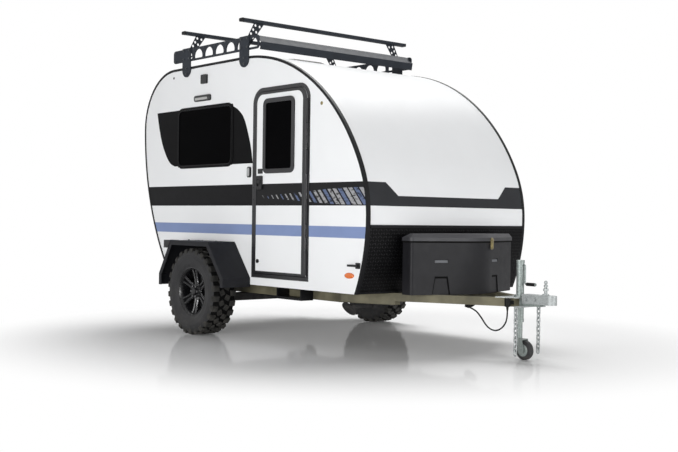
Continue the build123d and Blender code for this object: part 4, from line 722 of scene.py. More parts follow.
class Stamps:
    """The trailer's repeated small forms."""

    def __init__(self, maker: Maker) -> None:
        self.maker = maker
        self.bolt = self._bolt()
        self.rivet = self._rivet()
        self.lug = self._lug()
        self.diamond = self._diamond()
        self.link = self._link()

    @staticmethod
    def _bolt() -> StampTree:
        """Hexagon head on a round washer, standing on Z 0."""
        tree = StampTree("hex_bolt")
        tree.size("Head Radius", 0.008)
        tree.size("Head Height", 0.006)
        tree.size("Washer Radius", 0.011)
        head = tree.add("GeometryNodeMeshCylinder", sockets={
            "Vertices": 6, "Radius": tree.given("Head Radius"), "Depth": tree.given("Head Height")})
        lift = tree.add("ShaderNodeCombineXYZ", sockets={"Z": tree.given("Head Height")})
        half = tree.add("ShaderNodeVectorMath", {"operation": "SCALE"}, {0: lift.outputs[0], "Scale": 0.75})
        raised = tree.add("GeometryNodeTransform", sockets={
            "Geometry": head.outputs[0], "Translation": half.outputs[0]})
        washer = tree.add("GeometryNodeMeshCylinder", sockets={
            "Vertices": 14, "Radius": tree.given("Washer Radius"), "Depth": 0.004})
        both = tree.add("GeometryNodeJoinGeometry")
        for shape in (raised, washer):
            tree.feed(both.inputs[0], shape.outputs[0])
        return tree.close(both.outputs[0])

    @staticmethod
    def _rivet() -> StampTree:
        """Low dome."""
        tree = StampTree("dome_rivet")
        tree.size("Radius", 0.006)
        ball = tree.add("GeometryNodeMeshUVSphere", sockets={
            "Segments": 10, "Rings": 6, "Radius": tree.given("Radius")})
        flat = tree.add("GeometryNodeTransform", sockets={
            "Geometry": ball.outputs[0], "Scale": (1.0, 1.0, 0.5)})
        return tree.close(flat.outputs[0])

    @staticmethod
    def _lug() -> StampTree:
        """Block of unit size whose top is drawn in on all sides."""
        tree = StampTree("tread_lug")
        tree.size("Draw", -0.16)
        cube = tree.add("GeometryNodeMeshCube", sockets={"Size": (1.0, 1.0, 1.0)})
        spot = tree.add("GeometryNodeInputPosition")
        split = tree.add("ShaderNodeSeparateXYZ", sockets={0: spot.outputs[0]})
        above = tree.add("FunctionNodeCompare", {"data_type": "FLOAT", "operation": "GREATER_THAN"},
                          {0: split.outputs[2], 1: 0.0})
        level = tree.add("ShaderNodeVectorMath", {"operation": "MULTIPLY"},
                          {0: spot.outputs[0], 1: (1.0, 1.0, 0.0)})
        drawn = tree.add("ShaderNodeVectorMath", {"operation": "SCALE"},
                          {0: level.outputs[0], "Scale": tree.given("Draw")})
        moved = tree.add("GeometryNodeSetPosition", sockets={
            "Geometry": cube.outputs[0], "Selection": above.outputs[0], "Offset": drawn.outputs[0]})
        return tree.close(moved.outputs[0])

    @staticmethod
    def _diamond() -> StampTree:
        """Long low lump of a tread plate."""
        tree = StampTree("plate_lump")
        tree.size("Length", 0.013)
        ball = tree.add("GeometryNodeMeshIcoSphere", sockets={
            "Radius": tree.given("Length"), "Subdivisions": 1})
        flat = tree.add("GeometryNodeTransform", sockets={
            "Geometry": ball.outputs[0], "Scale": (1.0, 0.32, 0.14)})
        return tree.close(flat.outputs[0])

    @staticmethod
    def _link() -> StampTree:
        """Round-wire chain link, long along X."""
        tree = StampTree("chain_link")
        tree.size("Length", 0.042)
        tree.size("Width", 0.024)
        tree.size("Wire", 0.0049)
        frame_line = tree.add("GeometryNodeCurvePrimitiveQuadrilateral", sockets={
            "Width": tree.given("Length"), "Height": tree.given("Width")})
        bent = tree.add("GeometryNodeFilletCurve", {"mode": "POLY"}, {
            "Curve": frame_line.outputs[0], "Radius": 0.0104, "Count": 5, "Limit Radius": True})
        wire = tree.add("GeometryNodeCurvePrimitiveCircle", sockets={
            "Resolution": 8, "Radius": tree.given("Wire")})
        swept = tree.add("GeometryNodeCurveToMesh", sockets={
            "Curve": bent.outputs[0], "Profile Curve": wire.outputs[0]})
        return tree.close(swept.outputs[0])

    def press(self, tree: StampTree, name: str, spots: Sequence[Spot], finish: str, slot: str,
              body: str = TRAILER, sizes: Optional[Dict[str, float]] = None,
              smooth_deg: float = 40.0) -> bpy.types.Object:
        """Stamp a form on the spots and keep the result as a plain mesh.

        Args:
            tree: the form's tree.
            name: the piece's name.
            spots: places, turns and sizes.
            finish: name of the finish.
            slot: the record's material slot, not used.
            body: the body it rides on.
            sizes: the tree's named sizes, where they aren't the usual ones.
            smooth_deg: faces that meet flatter than this are shaded smooth.

        Returns:
            The new object.
        """
        points = bpy.data.meshes.new(name + "_points")
        points.from_pydata([spot.place for spot in spots], [], [])
        for title, values in (("turn", [tuple(spot.turn.to_euler()) for spot in spots]),
                              ("scale", [spot.scale for spot in spots])):
            layer = points.attributes.new(title, "FLOAT_VECTOR", "POINT")
            layer.data.foreach_set("vector", [part for value in values for part in value])
        carrier = show(bpy.data.objects.new(name + "_points", points))
        step = carrier.modifiers.new("stamp", "NODES")
        step.node_group = tree.tree
        step[tree.finish_id] = self.maker.finishes[finish]
        for title, value in (sizes or {}).items():
            step[tree.ids[title]] = value
        graph = bpy.context.evaluated_depsgraph_get()
        data = bpy.data.meshes.new_from_object(carrier.evaluated_get(graph))
        carrier.modifiers.remove(step)
        bpy.data.objects.remove(carrier)
        for title in ("turn", "scale"):
            if title in data.attributes:
                data.attributes.remove(data.attributes[title])
        return self.maker.adopt(name, data, finish, slot, body, smooth_deg)

    def bolts(self, name: str, spots: Sequence[Spot], finish: str, slot: str,
              form: Point = (0.008, 0.006, 0.011), body: str = TRAILER) -> bpy.types.Object:
        """Stamp hexagon bolts.

        Args:
            name: the piece's name.
            spots: places and turns.
            finish: name of the finish.
            slot: the record's material slot, not used.
            form: radius and height of the head, and radius of the washer.
            body: the body they ride on.

        Returns:
            The new object.
        """
        sizes = dict(zip(("Head Radius", "Head Height", "Washer Radius"), form))
        return self.press(self.bolt, name, spots, finish, slot, body, sizes)

    def rivets(self, name: str, spots: Sequence[Spot], finish: str, slot: str,
               radius: float) -> bpy.types.Object:
        """Stamp low domes of that radius on the trailer's fixed body."""
        return self.press(self.rivet, name, spots, finish, slot, sizes={"Radius": radius})


@dataclass
class BodyLine:
    """Side outline of the cabin: arcs that meet in line, as X at a height."""

    top: float = 2.355
    rear_top_radius: float = 0.525
    rear_radius: float = 2.200
    front_top_radius: float = 1.620
    front_top_end: float = math.radians(25.0)
    nose_radius: float = 0.948
    lower_nose_radius: float = 1.430

    @property
    def rear_level(self) -> float:
        """Height of the rearmost point."""
        return self.top - self.rear_top_radius

    @property
    def nose_level(self) -> float:
        """Height of the foremost point."""
        return self.top - self.front_top_radius + self._step() * math.sin(self.front_top_end)

    def _step(self) -> float:
        """Difference of the two front radii."""
        return self.front_top_radius - self.nose_radius

    def rear(self, height: float, inset: float = 0.0) -> float:
        """X of the rear outline at a height, drawn inside by the inset."""
        radius = self.rear_radius if height < self.rear_level else self.rear_top_radius
        reach = math.sqrt(max(0.0, (radius - inset) ** 2 - (height - self.rear_level) ** 2))
        return at(radius) - reach

    def front(self, height: float, inset: float = 0.0) -> float:
        """X of the front outline at a height, drawn inside by the inset."""
        front = at(BODY_LENGTH)
        nose_top = self.nose_level + self.nose_radius * math.sin(self.front_top_end)
        for limit, radius in ((self.nose_level, self.lower_nose_radius), (nose_top, self.nose_radius)):
            if height <= limit:
                return front - radius + math.sqrt((radius - inset) ** 2 - (height - self.nose_level) ** 2)
        centre = front - self.nose_radius - self._step() * math.cos(self.front_top_end)
        drop = height - (self.top - self.front_top_radius)
        return centre + math.sqrt(max(0.0, (self.front_top_radius - inset) ** 2 - drop ** 2))


@dataclass
class Cabin:
    """Graphics, stone guard, seals, fittings and roof vent."""

    maker: Maker
    stamps: Stamps
    line: BodyLine = field(default_factory=BodyLine)
    dark_low: float = 1.106
    dark_high: float = 1.283
    front_dark_high: float = 1.183
    blue_low: float = 0.864
    blue_high: float = 0.950
    moulding_face: float = 0.022
    skin_inset: float = 0.0033
    front_half: float = 0.849
    wing_foot: float = 0.560
    wing_top: float = 0.670
    door_edges: Flat = (1.772, 2.524)           # stations of the door frame's edges
    leaf_edges: Flat = (1.8285, 2.4375)
    screw_stations: Flat = (1.787, 2.509)
    screw_foot: float = 0.56
    screw_pitch: float = 0.0995
    screw_rows: int = 14
    screw_seat: float = 0.004
    window_middle: Flat = (1.037, 1.714)        # station and height
    window_hole: Point = (0.852, 0.512, 0.062)  # width, height and corner radius
    window_seal: Point = (0.842, 0.502, 0.058)
    pane_middle: Flat = (2.129, 1.672)
    pane_seal: Point = (0.346, 0.542, 0.026)
    bead_radius: float = 0.0035
    bead_out: float = 0.006
    bead_sides: int = 8
    lump_rows: int = 19
    lump_columns: int = 66
    lump_pitch: float = 0.0258
    lump_foot: float = 0.462
    lump_seat: float = 0.001
    lump_lean: float = math.radians(45.0)
    guard_strips: Tuple[Point, ...] = ((0.944, 0.966, 0.006), (0.452, 0.464, 0.004))  # low, high, thickness
    marker_middle: Flat = (3.010, 0.586)
    marker_half: Flat = (0.052, 0.0225)
    field_front: Tuple[Flat, ...] = (  # station and height, downward
        (1.478, 1.950), (1.553, 1.915), (1.637, 1.838), (1.706, 1.690), (1.748, 1.560), (1.768, 1.458))
    field_low: Tuple[Flat, ...] = ((1.475, 1.4585), (1.465, 1.454), (0.605, 1.454), (0.598, 1.4650))
    field_rear: Tuple[Flat, ...] = (  # upward
        (0.546, 1.465), (0.470, 1.494), (0.400, 1.560), (0.318, 1.689), (0.262, 1.840), (0.227, 1.973))
    field_top: Tuple[Flat, ...] = ((0.600, 1.9745), (1.470, 1.9745))

    def band(self, start: Optional[float], end: Optional[float], low: float, high: float) -> List[Flat]:
        """Outline of a strip along a wall.

        Args:
            start: X of its rear end, or None to follow the body's rear.
            end: X of its front end, or None to follow the body's front.
            low: height of its lower edge.
            high: height of its upper edge.

        Returns:
            The outline's points.
        """
        heights, gap = levels(low, high), self.moulding_face
        rear = [(self.line.rear(height, gap) if start is None else start, height) for height in heights]
        front = [(self.line.front(height, gap) if end is None else end, height) for height in heights]
        return [*rear, *reversed(front)]

    def stripes(self) -> None:
        """Vinyl stripes along both walls and across the door."""
        rear_edge, front_edge = (at(edge) for edge in self.door_edges)
        leaf_rear, leaf_front = (at(edge) for edge in self.leaf_edges)
        runs = (  # name, start, end, where it goes, body, finish of its dark stripe
            ("rear_right", None, rear_edge, wall(-1), TRAILER, "vinyl_dark"),
            ("door", leaf_rear, leaf_front, wall(-1, DOOR_FACE), "door", "vinyl_slats"),
            ("front_right", front_edge, None, wall(-1), TRAILER, "vinyl_slats"),
            ("left", None, None, wall(1), TRAILER, "vinyl_slats"),
        )
        for name, start, end, place, body, dark in runs:
            for kind, low, high, finish in (("dark", self.dark_low, self.dark_high, dark),
                                            ("blue", self.blue_low, self.blue_high, "vinyl_blue")):
                outline = self.band(start, end, low, high)
                self.maker.plate(f"stripe_{kind}_{name}", outline, place, VINYL, finish, "black_trim", body)

    def window_field(self) -> None:
        """Black vinyl field round each side window."""
        line = (*spline(self.field_front), *self.field_low, *spline(self.field_rear), *self.field_top)
        outline = [on_side(place) for place in line]
        hole = rounded(*self.window_hole, on_side(self.window_middle))
        for name, side in SIDES:
            self.maker.plate(f"window_field_{name}", outline, wall(side), VINYL, "vinyl_black", "black_trim",
                             holes=[hole])

    def wing_edge(self, height: float) -> float:
        """Distance from the middle to the inner edge of the front band's raised wings, at a height."""
        share = (height - self.front_dark_high) / (self.dark_high - self.front_dark_high)
        return self.wing_foot + share * (self.wing_top - self.wing_foot)

    def nose_strip(self, mesh: Mesh, ends: Callable[[float], Flat], low: float, high: float) -> None:
        """Curved vinyl strip across the nose.

        Args:
            mesh: the mesh to add to.
            ends: gives Y of its two ends for each height.
            low: height of its lower edge.
            high: height of its upper edge.
        """
        loops = []
        for height in levels(low, high):
            one, two = ends(height)
            out = self.line.front(height, self.skin_inset)
            loops.append([(out, one, height), (out, two, height), (out + DECAL, two, height),
                          (out + DECAL, one, height)])
        ring_loop(mesh, loops, caps=True)

    def front_band(self) -> None:
        """Charcoal band across the nose, higher toward both sides."""
        mesh = bmesh.new()
        self.nose_strip(mesh, lambda height: (-self.front_half, self.front_half), self.dark_low,
                        self.front_dark_high)
        for _, side in SIDES:
            self.nose_strip(mesh, lambda height, side=side: (side * self.wing_edge(height),
                                                             side * self.front_half),
                            self.front_dark_high, self.dark_high)
        self.maker.piece("front_band", mesh, "vinyl_charcoal", "black_trim", merge=0.0)

    def guard(self) -> None:
        """Raised lumps of the tread plate and the strips along its edges."""
        spots, probe = [], 0.01
        for row in range(self.lump_rows):
            height = self.lump_foot + row * self.lump_pitch
            out = self.line.front(height, self.lump_seat)
            slope = (self.line.front(height + probe, self.lump_seat) - out) / probe
            way = Vector((1.0, 0.0, -slope)).normalized()
            for column in range(self.lump_columns):
                across = (column - (self.lump_columns - 1) / 2) * self.lump_pitch
                lean = self.lump_lean if (row + column) % 2 else -self.lump_lean
                spots.append(Spot((out, across, height), facing(way, lean)))
        self.stamps.press(self.stamps.diamond, "guard_lumps", spots, "guard_lump_painted_highlight", "guard_plate")
        mesh = bmesh.new()
        for low, high, out in self.guard_strips:
            low_x, high_x = self.line.front(low), self.line.front(high)
            loops = [[(low_x - self.lump_seat, across, low), (low_x + out, across, low),
                      (high_x + out, across, high), (high_x - self.lump_seat, across, high)]
                     for across in (-self.front_half, self.front_half)]
            ring_loop(mesh, loops, caps=True)
        self.maker.piece("guard_edges", mesh, "satin_trim", "black_trim", merge=0.0)

    def seals(self) -> None:
        """Soft beads round the panes."""
        window = rounded(*self.window_seal, on_side(self.window_middle))
        pane = rounded(*self.pane_seal, on_side(self.pane_middle))
        for name, outline, place, body in (
                ("window_seal_right", window, wall(-1), TRAILER),
                ("window_seal_left", window, wall(1), TRAILER),
                ("door_pane_seal", pane, wall(-1, DOOR_FACE), "door")):
            mesh = bmesh.new()
            self.bead(mesh, outline, place)
            self.maker.piece(name, mesh, "satin_trim", "black_trim", body)

    def bead(self, mesh: Mesh, outline: Sequence[Flat], place: Placer) -> None:
        """Round bead along a closed outline.

        Args:
            mesh: the mesh to add to.
            outline: the closed line.
            place: gives the point for two flat coordinates and a height.
        """
        loops = []
        for index, (one, two) in enumerate(outline):
            before, after = outline[index - 1], outline[(index + 1) % len(outline)]
            along = Vector((after[0] - before[0], after[1] - before[1])).normalized()
            loop = []
            for turn in turns(self.bead_sides):
                aside = self.bead_radius * math.cos(turn)
                loop.append(place(one - along.y * aside, two + along.x * aside,
                                  self.bead_out + self.bead_radius * math.sin(turn)))
            loops.append(loop)
        ring_loop(mesh, loops, wrap=True)

    def fittings(self) -> None:
        """Lamp lenses, small plates, caps and screws on the walls and door."""
        plates = (  # name, width height and corner, station and height, wall, faces, finish, slot, body
            ("porch_lens", (0.196, 0.022, 0.010), (1.011, 2.050), HALF_BODY, (0.024, 0.0285), "clear_lens",
             "lamp_black", TRAILER),
            ("door_plate", (0.066, 0.040, 0.004), (1.882, 1.388), DOOR_FACE, (0.0, 0.003), "lamp_black",
             "lamp_black", "door"),
            ("inlet_face", (0.030, 0.072, 0.0145), (1.730, 1.385), HALF_BODY, (0.018, 0.0195), "steel_pale",
             "galvanised", TRAILER),
        )
        for name, form, middle, base, faces, finish, slot, body in plates:
            self.maker.plate(name, rounded(*form, on_side(middle)), wall(-1, base), faces, finish, slot, body)
        mesh = bmesh.new()
        for _, side in SIDES:
            self.dome(mesh, wall(side))
        domes = self.maker.piece("marker_domes", mesh, "amber_lens", "amber_lens")
        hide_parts("marker_lamps")
        right = facing(sideways(-1))
        for name, along, height, finish, slot, radius in (
                ("wall_cap_rear", 0.515, 2.277, "lamp_black", "lamp_black", 0.012),
                ("wall_cap_front", 2.661, 1.890, "brass_plate", "brass", 0.015)):
            self.stamps.rivets(name, [Spot((at(along), -HALF_BODY, height), right)], finish, slot, radius)
        screw_y = -(HALF_BODY + self.screw_seat)
        screws = [Spot((at(along), screw_y, self.screw_foot + self.screw_pitch * row), right)
                  for row in range(self.screw_rows) for along in self.screw_stations]
        self.stamps.rivets("frame_screws", screws, "satin_trim", "black_trim", 0.005)

    def dome(self, mesh: Mesh, place: Placer) -> None:
        """Low oval lens on one wall.

        Args:
            mesh: the mesh to add to.
            place: gives the point for X, height and the distance out from the wall.
        """
        middle_x, middle_z = on_side(self.marker_middle)
        half_long, half_tall = self.marker_half
        sections = (  # share of the outline, distance out
            (1.0, 0.0), (1.0, 0.004), (0.92, 0.009), (0.72, 0.0135), (0.40, 0.016), (0.05, 0.0165))
        ring_loop(mesh, [[place(middle_x + half_long * share * math.cos(turn),
                                middle_z + half_tall * share * math.sin(turn), out) for turn in turns(36)]
                         for share, out in sections], caps=True)

    def vent(self) -> None:
        """Domed smoked lid of the roof vent, in place of the plain one."""
        mesh = bmesh.new()
        low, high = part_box("vent_lid")
        middle = ((low.x + high.x) / 2, (low.y + high.y) / 2)
        wide, deep, corner = high.x - low.x, high.y - low.y, 0.04
        sections = (  # share of the outline, rise
            (1.0, 0.0), (1.0, 0.022), (0.985, 0.030), (0.94, 0.048), (0.84, 0.060), (0.60, 0.067),
            (0.10, 0.070))
        ring_loop(mesh, [[(one, two, low.z + rise) for one, two in
                          rounded(wide * share, deep * share, corner * share, middle)]
                         for share, rise in sections], caps=True)
        lid = self.maker.piece("vent_dome", mesh, "smoked_dome", "black_trim", "vent_lid")
        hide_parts("vent_lid")

    def build(self) -> None:
        """Make all of the cabin's pieces."""
        self.vent()
        self.stripes()
        self.window_field()
        self.front_band()
        self.guard()
        self.seals()
        self.fittings()


@dataclass
class Wheel:
    """One road wheel: lugged tyre and spoked rim, on the right or left."""

    maker: Maker
    stamps: Stamps
    side: str
    facing_y: float
    station: float = 1.237
    height: float = 0.370
    middle: float = 1.0195
    lug_count: int = 26
    lug_twist: float = math.radians(24.0)
    ridge_count: int = 60
    spokes: int = 6
    nut_count: int = 6
    ring_count: int = 24
    segments: int = 96
    bevel: float = 0.004
    nut_at: Flat = (0.0465, 0.054)               # reach and distance out
    nut_form: Point = (0.0095, 0.018, 0.012)     # radius and height of the head, radius of the washer
    ring_at: Flat = (0.1985, 0.0935)
    ring_form: Point = (0.004, 0.003, 0.0045)
    ridge: Tuple[float, float, Point] = (0.1166, 0.2950, (0.0022, 0.006, 0.026))  # across, reach, size
    inner_lug: Tuple[float, float, Point] = (0.0265, 0.3590, (0.046, 0.050, 0.0175))
    inner_lead: float = 0.42                     # share of a pitch
    # near-black skin under the lugs: painted shade in the tread's grooves
    groove_shade_skin: Flat = (0.0006, -0.004)          # above and under the carcass
    wall_line: Tuple[Flat, ...] = (  # half of the carcass, distance across and radius, from tread to bead
        (0.0, 0.3560), (0.052, 0.3556), (0.088, 0.3535), (0.1040, 0.3475), (0.1120, 0.3270), (0.1150, 0.3130),
        (0.1162, 0.3120), (0.1170, 0.2900), (0.1172, 0.2820), (0.1158, 0.2780), (0.1150, 0.2550),
        (0.1120, 0.2440), (0.1128, 0.2420), (0.1085, 0.2270), (0.0995, 0.2160), (0.0960, 0.2090),
        (0.0890, 0.2000))
    tread_points: int = 4
    barrel: Tuple[Flat, ...] = (  # distance out and radius, as for the hub and cap
        (-0.094, 0.2070), (-0.089, 0.2080), (-0.086, 0.1960), (0.080, 0.1960), (0.087, 0.2010),
        (0.090, 0.2085), (0.0955, 0.2085), (0.0965, 0.2020), (0.0900, 0.1930), (0.074, 0.1850),
        (0.030, 0.1790), (-0.080, 0.1790))
    hub_line: Tuple[Flat, ...] = (
        (-0.060, 0.028), (-0.060, 0.138), (-0.012, 0.138), (-0.008, 0.066), (0.040, 0.066), (0.052, 0.056),
        (0.054, 0.034), (0.056, 0.028))
    cap_line: Tuple[Flat, ...] = (
        (0.050, 0.0005), (0.050, 0.031), (0.076, 0.031), (0.081, 0.028), (0.0815, 0.024), (0.0795, 0.022),
        (0.0800, 0.0005))
    arm: Tuple[Tuple[float, ...], ...] = (  # reach, inner edge, outer edge, top, underside
        (0.050, 0.003, 0.030, 0.050, 0.020), (0.110, 0.007, 0.025, 0.060, 0.026),
        (0.155, 0.011, 0.030, 0.068, 0.034), (0.190, 0.014, 0.040, 0.078, 0.044))
    groove: Tuple[Point, ...] = ((0.055, 0.008, 0.026), (0.190, 0.018, 0.044))  # reach, half-width, underside
    groove_web: float = 0.010
    edge: Tuple[Flat, ...] = (  # section of a bright edge, from the outer edge and the top
        (-0.0052, 0.0006), (0.0008, -0.0052), (0.0008, -0.0095), (-0.0052, -0.006))
    bright: Tuple[Point, ...] = (  # reach, outer edge, top
        (0.078, 0.0285, 0.0545), (0.110, 0.025, 0.060), (0.155, 0.030, 0.068), (0.184, 0.0375, 0.0755))

    def __post_init__(self) -> None:
        self.hub = Vector((at(self.station), self.facing_y * self.middle, self.height))
        self.out = sideways(self.facing_y)
        self.body = f"wheel_{self.side}"

    def spot(self, turn: float, across: float, reach: float, scale: Point, twist: float = 0.0) -> Spot:
        """Spot of a lug.

        Args:
            turn: angle round the axle.
            across: distance outward from the wheel's middle.
            reach: distance of the lug's middle from the axle.
            scale: size along the axle, round the tyre and outward.
            twist: turn about the outward direction.

        Returns:
            The spot.
        """
        away = Vector((math.sin(turn), 0.0, math.cos(turn)))
        turned_by = (Matrix.Rotation(turn, 3, "Y") @ Matrix.Rotation(math.pi / 2, 3, "Z")
                     @ Matrix.Rotation(twist, 3, "Z"))
        return Spot(tuple(self.hub + away * reach + self.out * across), turned_by, scale)

    def carcass(self) -> None:
        """Carcass with moulded rings, and a near-black skin under the lugs as painted shade on the floor of
        the tread's grooves.
        """
        name, half = f"tyre_{self.side}", list(self.wall_line)
        mesh, groove_shade = bmesh.new(), bmesh.new()
        profile = [*half, *((-along, radius) for along, radius in reversed(half[1:]))]
        turned(mesh, profile, self.hub, self.out, self.segments)
        tread, (above, under) = half[:self.tread_points], self.groove_shade_skin
        skin = [*((along, radius + above) for along, radius in tread),
                *((along, radius + under) for along, radius in reversed(tread))]
        for face in (-1, 1):
            mirrored = [(face * along, radius) for along, radius in skin]
            turned(groove_shade, mirrored, self.hub, self.out, self.segments)
        self.maker.piece(f"{name}_grooves", groove_shade, "black_rubber_and_painted_shade", "tyre_rubber", self.body, merge=0.0)
        made = self.maker.piece(f"{name}_carcass", mesh, "wall_rubber", "tyre_rubber", self.body)
        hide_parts(name)

    def tread(self) -> None:
        """Lugs of a mud tread, and fine ridges round the outer sidewall."""
        spots: List[Spot] = []
        pitch = 2.0 * math.pi / self.lug_count
        inner_across, inner_reach, inner_size = self.inner_lug
        for index in range(self.lug_count):
            odd = index % 2
            long = 0.0 if odd else 0.006
            rows = (  # across, reach, size along the axle, round the tyre and outward
                (0.0795 + long / 2, 0.3580, (0.050 + long, 0.052, 0.0195)),
                (0.1055, 0.3470, (0.010, 0.050, 0.030)),
                (0.1100, 0.3330, (0.0060, 0.046, 0.030)) if odd else (0.1095, 0.3380, (0.0060, 0.036, 0.020)),
            )
            for face in (-1, 1):
                turn = (index + (0.0 if face > 0 else 0.5)) * pitch
                spots += [self.spot(turn, face * across, reach, size) for across, reach, size in rows]
                spots.append(self.spot(turn + self.inner_lead * pitch, face * inner_across, inner_reach,
                                       inner_size, self.lug_twist * face))
        ridges = [self.spot(turn, *self.ridge) for turn in turns(self.ridge_count, 0.5)]
        for name, places, finish in (("lugs", spots, "tread_rubber"), ("ridges", ridges, "wall_rubber")):
            self.stamps.press(self.stamps.lug, f"tyre_{self.side}_{name}", places, finish, "tyre_rubber",
                              self.body, smooth_deg=20.0)

    def flat(self, turn: float, reach: float, aside: float, out: float) -> Point:
        """Point on the rim's face, by a spoke's angle, the reach along it, the distance aside and outward."""
        away = Vector((math.sin(turn), 0.0, math.cos(turn)))
        across = Vector((math.cos(turn), 0.0, -math.sin(turn)))
        return tuple(self.hub + away * reach + across * aside + self.out * out)

    def bar(self, mesh: Mesh, turn: float, sections: Sequence[Tuple[float, Sequence[Flat]]],
            face: int = 1) -> None:
        """Skin a bar along a spoke.

        Args:
            mesh: the mesh to add to.
            turn: the spoke's angle.
            sections: the reach of each section, and its points as distance aside and outward.
            face: -1 to mirror the points to the spoke's other side.
        """
        ring_loop(mesh, [[self.flat(turn, reach, face * aside, out) for aside, out in section]
                         for reach, section in sections], caps=True)

    def rim(self) -> None:
        """Barrel with its lip, grooved spokes with bright edges, hub with its cap, nuts and ring of bolts."""
        arm = [(reach, ((inner, under), (inner, top - self.bevel), (inner + self.bevel, top),
                        (outer - self.bevel, top), (outer, top - self.bevel), (outer, under)))
               for reach, inner, outer, top, under in self.arm]
        web = [(reach, ((-half, low), (-half, low + self.groove_web), (half, low + self.groove_web),
                        (half, low)))
               for reach, half, low in self.groove]
        bright = [(reach, [(outer + aside, top + rise) for aside, rise in self.edge])
                  for reach, outer, top in self.bright]
        mesh, edges, cap = bmesh.new(), bmesh.new(), bmesh.new()
        turned(mesh, self.barrel, self.hub, self.out, self.segments)
        turned(mesh, self.hub_line, self.hub, self.out, 48)
        turned(cap, self.cap_line, self.hub, self.out, 40, closed=False)
        for turn in turns(self.spokes):
            for face in (-1, 1):
                self.bar(mesh, turn, arm, face)
                self.bar(edges, turn, bright, face)
            self.bar(mesh, turn, web)
        name = f"rim_{self.side}"
        made = self.maker.piece(f"{name}_black", mesh, "alloy_black", "rim_black", self.body, merge=0.0)
        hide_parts(name)
        self.maker.piece(f"{name}_edges", edges, "alloy_bright", "rim_black", self.body, merge=0.0)
        self.maker.piece(f"{name}_cap", cap, "lamp_black", "rim_black", self.body)
        for kind, count, (reach, out), form, finish, slot in (
                ("nuts", self.nut_count, self.nut_at, self.nut_form, "alloy_bright", "galvanised"),
                ("ring_bolts", self.ring_count, self.ring_at, self.ring_form, "lamp_black", "rim_black")):
            spots = [Spot(self.flat(turn, reach, 0.0, out), facing(self.out)) for turn in turns(count, 0.5)]
            self.stamps.bolts(f"{name}_{kind}", spots, finish, slot, form, self.body)

    def build(self) -> None:
        """Make the tyre and the rim."""
        self.carcass()
        self.tread()
        self.rim()


@dataclass
class Fenders:
    """Lamp housings, black sheets on the walls inside the fenders, and bolts of the two fenders."""

    maker: Maker
    stamps: Stamps
    lamp_rear: float = -1.280
    lamp_front: float = -1.180
    lamp_low: float = 0.735
    lamp_top: float = 0.800
    lamp_middle: float = 1.105
    lamp_wide: float = 0.090
    slope: float = 0.628     # run of the fender's rear face for its drop
    shell: float = 0.002
    mouth: float = 0.005     # how far the shell stands out behind the lamp
    lens_gap: float = 0.004
    lens_thick: float = 0.003
    liner_thick: float = 0.0015
    bolt_across: float = 1.010
    bolt_row: Point = (-1.100, -0.886, -0.672)
    well: Tuple[Flat, ...] = (  # inside outline of a fender, X and height
        (-1.3595, 0.451), (-1.3595, 0.5035), (-1.1770, 0.7945), (-0.5956, 0.7945), (-0.3685, 0.5032),
        (-0.3685, 0.451),
    )

    def front(self, height: float) -> float:
        """X where a lamp meets the fender's sloping rear face, at a height."""
        return self.lamp_front - (self.lamp_top - height) * self.slope

    def housings(self) -> None:
        """Black shell round each lamp, open to the rear, and a ribbed lens in its mouth."""
        shells, lenses = bmesh.new(), bmesh.new()
        tall = self.lamp_top - self.lamp_low
        middle = (self.lamp_middle, self.lamp_low + tall / 2)
        outer = rounded(self.lamp_wide + 2 * self.shell, tall + 2 * self.shell, 0.006, middle)
        inner = rounded(self.lamp_wide, tall, 0.005, middle)
        lens = rounded(self.lamp_wide - 2 * self.lens_gap, tall - 2 * self.lens_gap, 0.006, middle)
        sections = ((outer, False), (outer, True), (inner, True), (inner, False))
        mouth = self.lamp_rear - self.mouth
        for _, side in SIDES:
            ring_loop(shells, [[(mouth if at_mouth else self.front(height), side * across, height)
                                for across, height in loop] for loop, at_mouth in sections], wrap=True)
            slab(lenses, lens, lambda across, height, out, side=side: (self.lamp_rear - out, side * across,
                                                                       height), 0.0, self.lens_thick)
        self.maker.piece("fender_lamp_shells", shells, "lamp_black", "lamp_black")
        self.maker.piece("fender_lamp_lenses", lenses, "red_lens", "red_lens")

    def liners(self) -> None:
        """Black sheet on the wall inside each fender, which makes the wheel well dark."""
        for name, side in SIDES:
            self.maker.plate(f"fender_liner_{name}", self.well, wall(side), (0.0, self.liner_thick),
                             "black_rubber_and_painted_shade", "black_rubber")

    def build(self) -> None:
        """Make the housings, the liners and the bolts along each fender's top."""
        self.housings()
        self.liners()
        spots = [Spot((along, side * self.bolt_across, self.lamp_top), facing(UP))
                 for _, side in SIDES for along in self.bolt_row]
        self.stamps.bolts("fender_bolts", spots, "bolt_dark", "dark_coat")


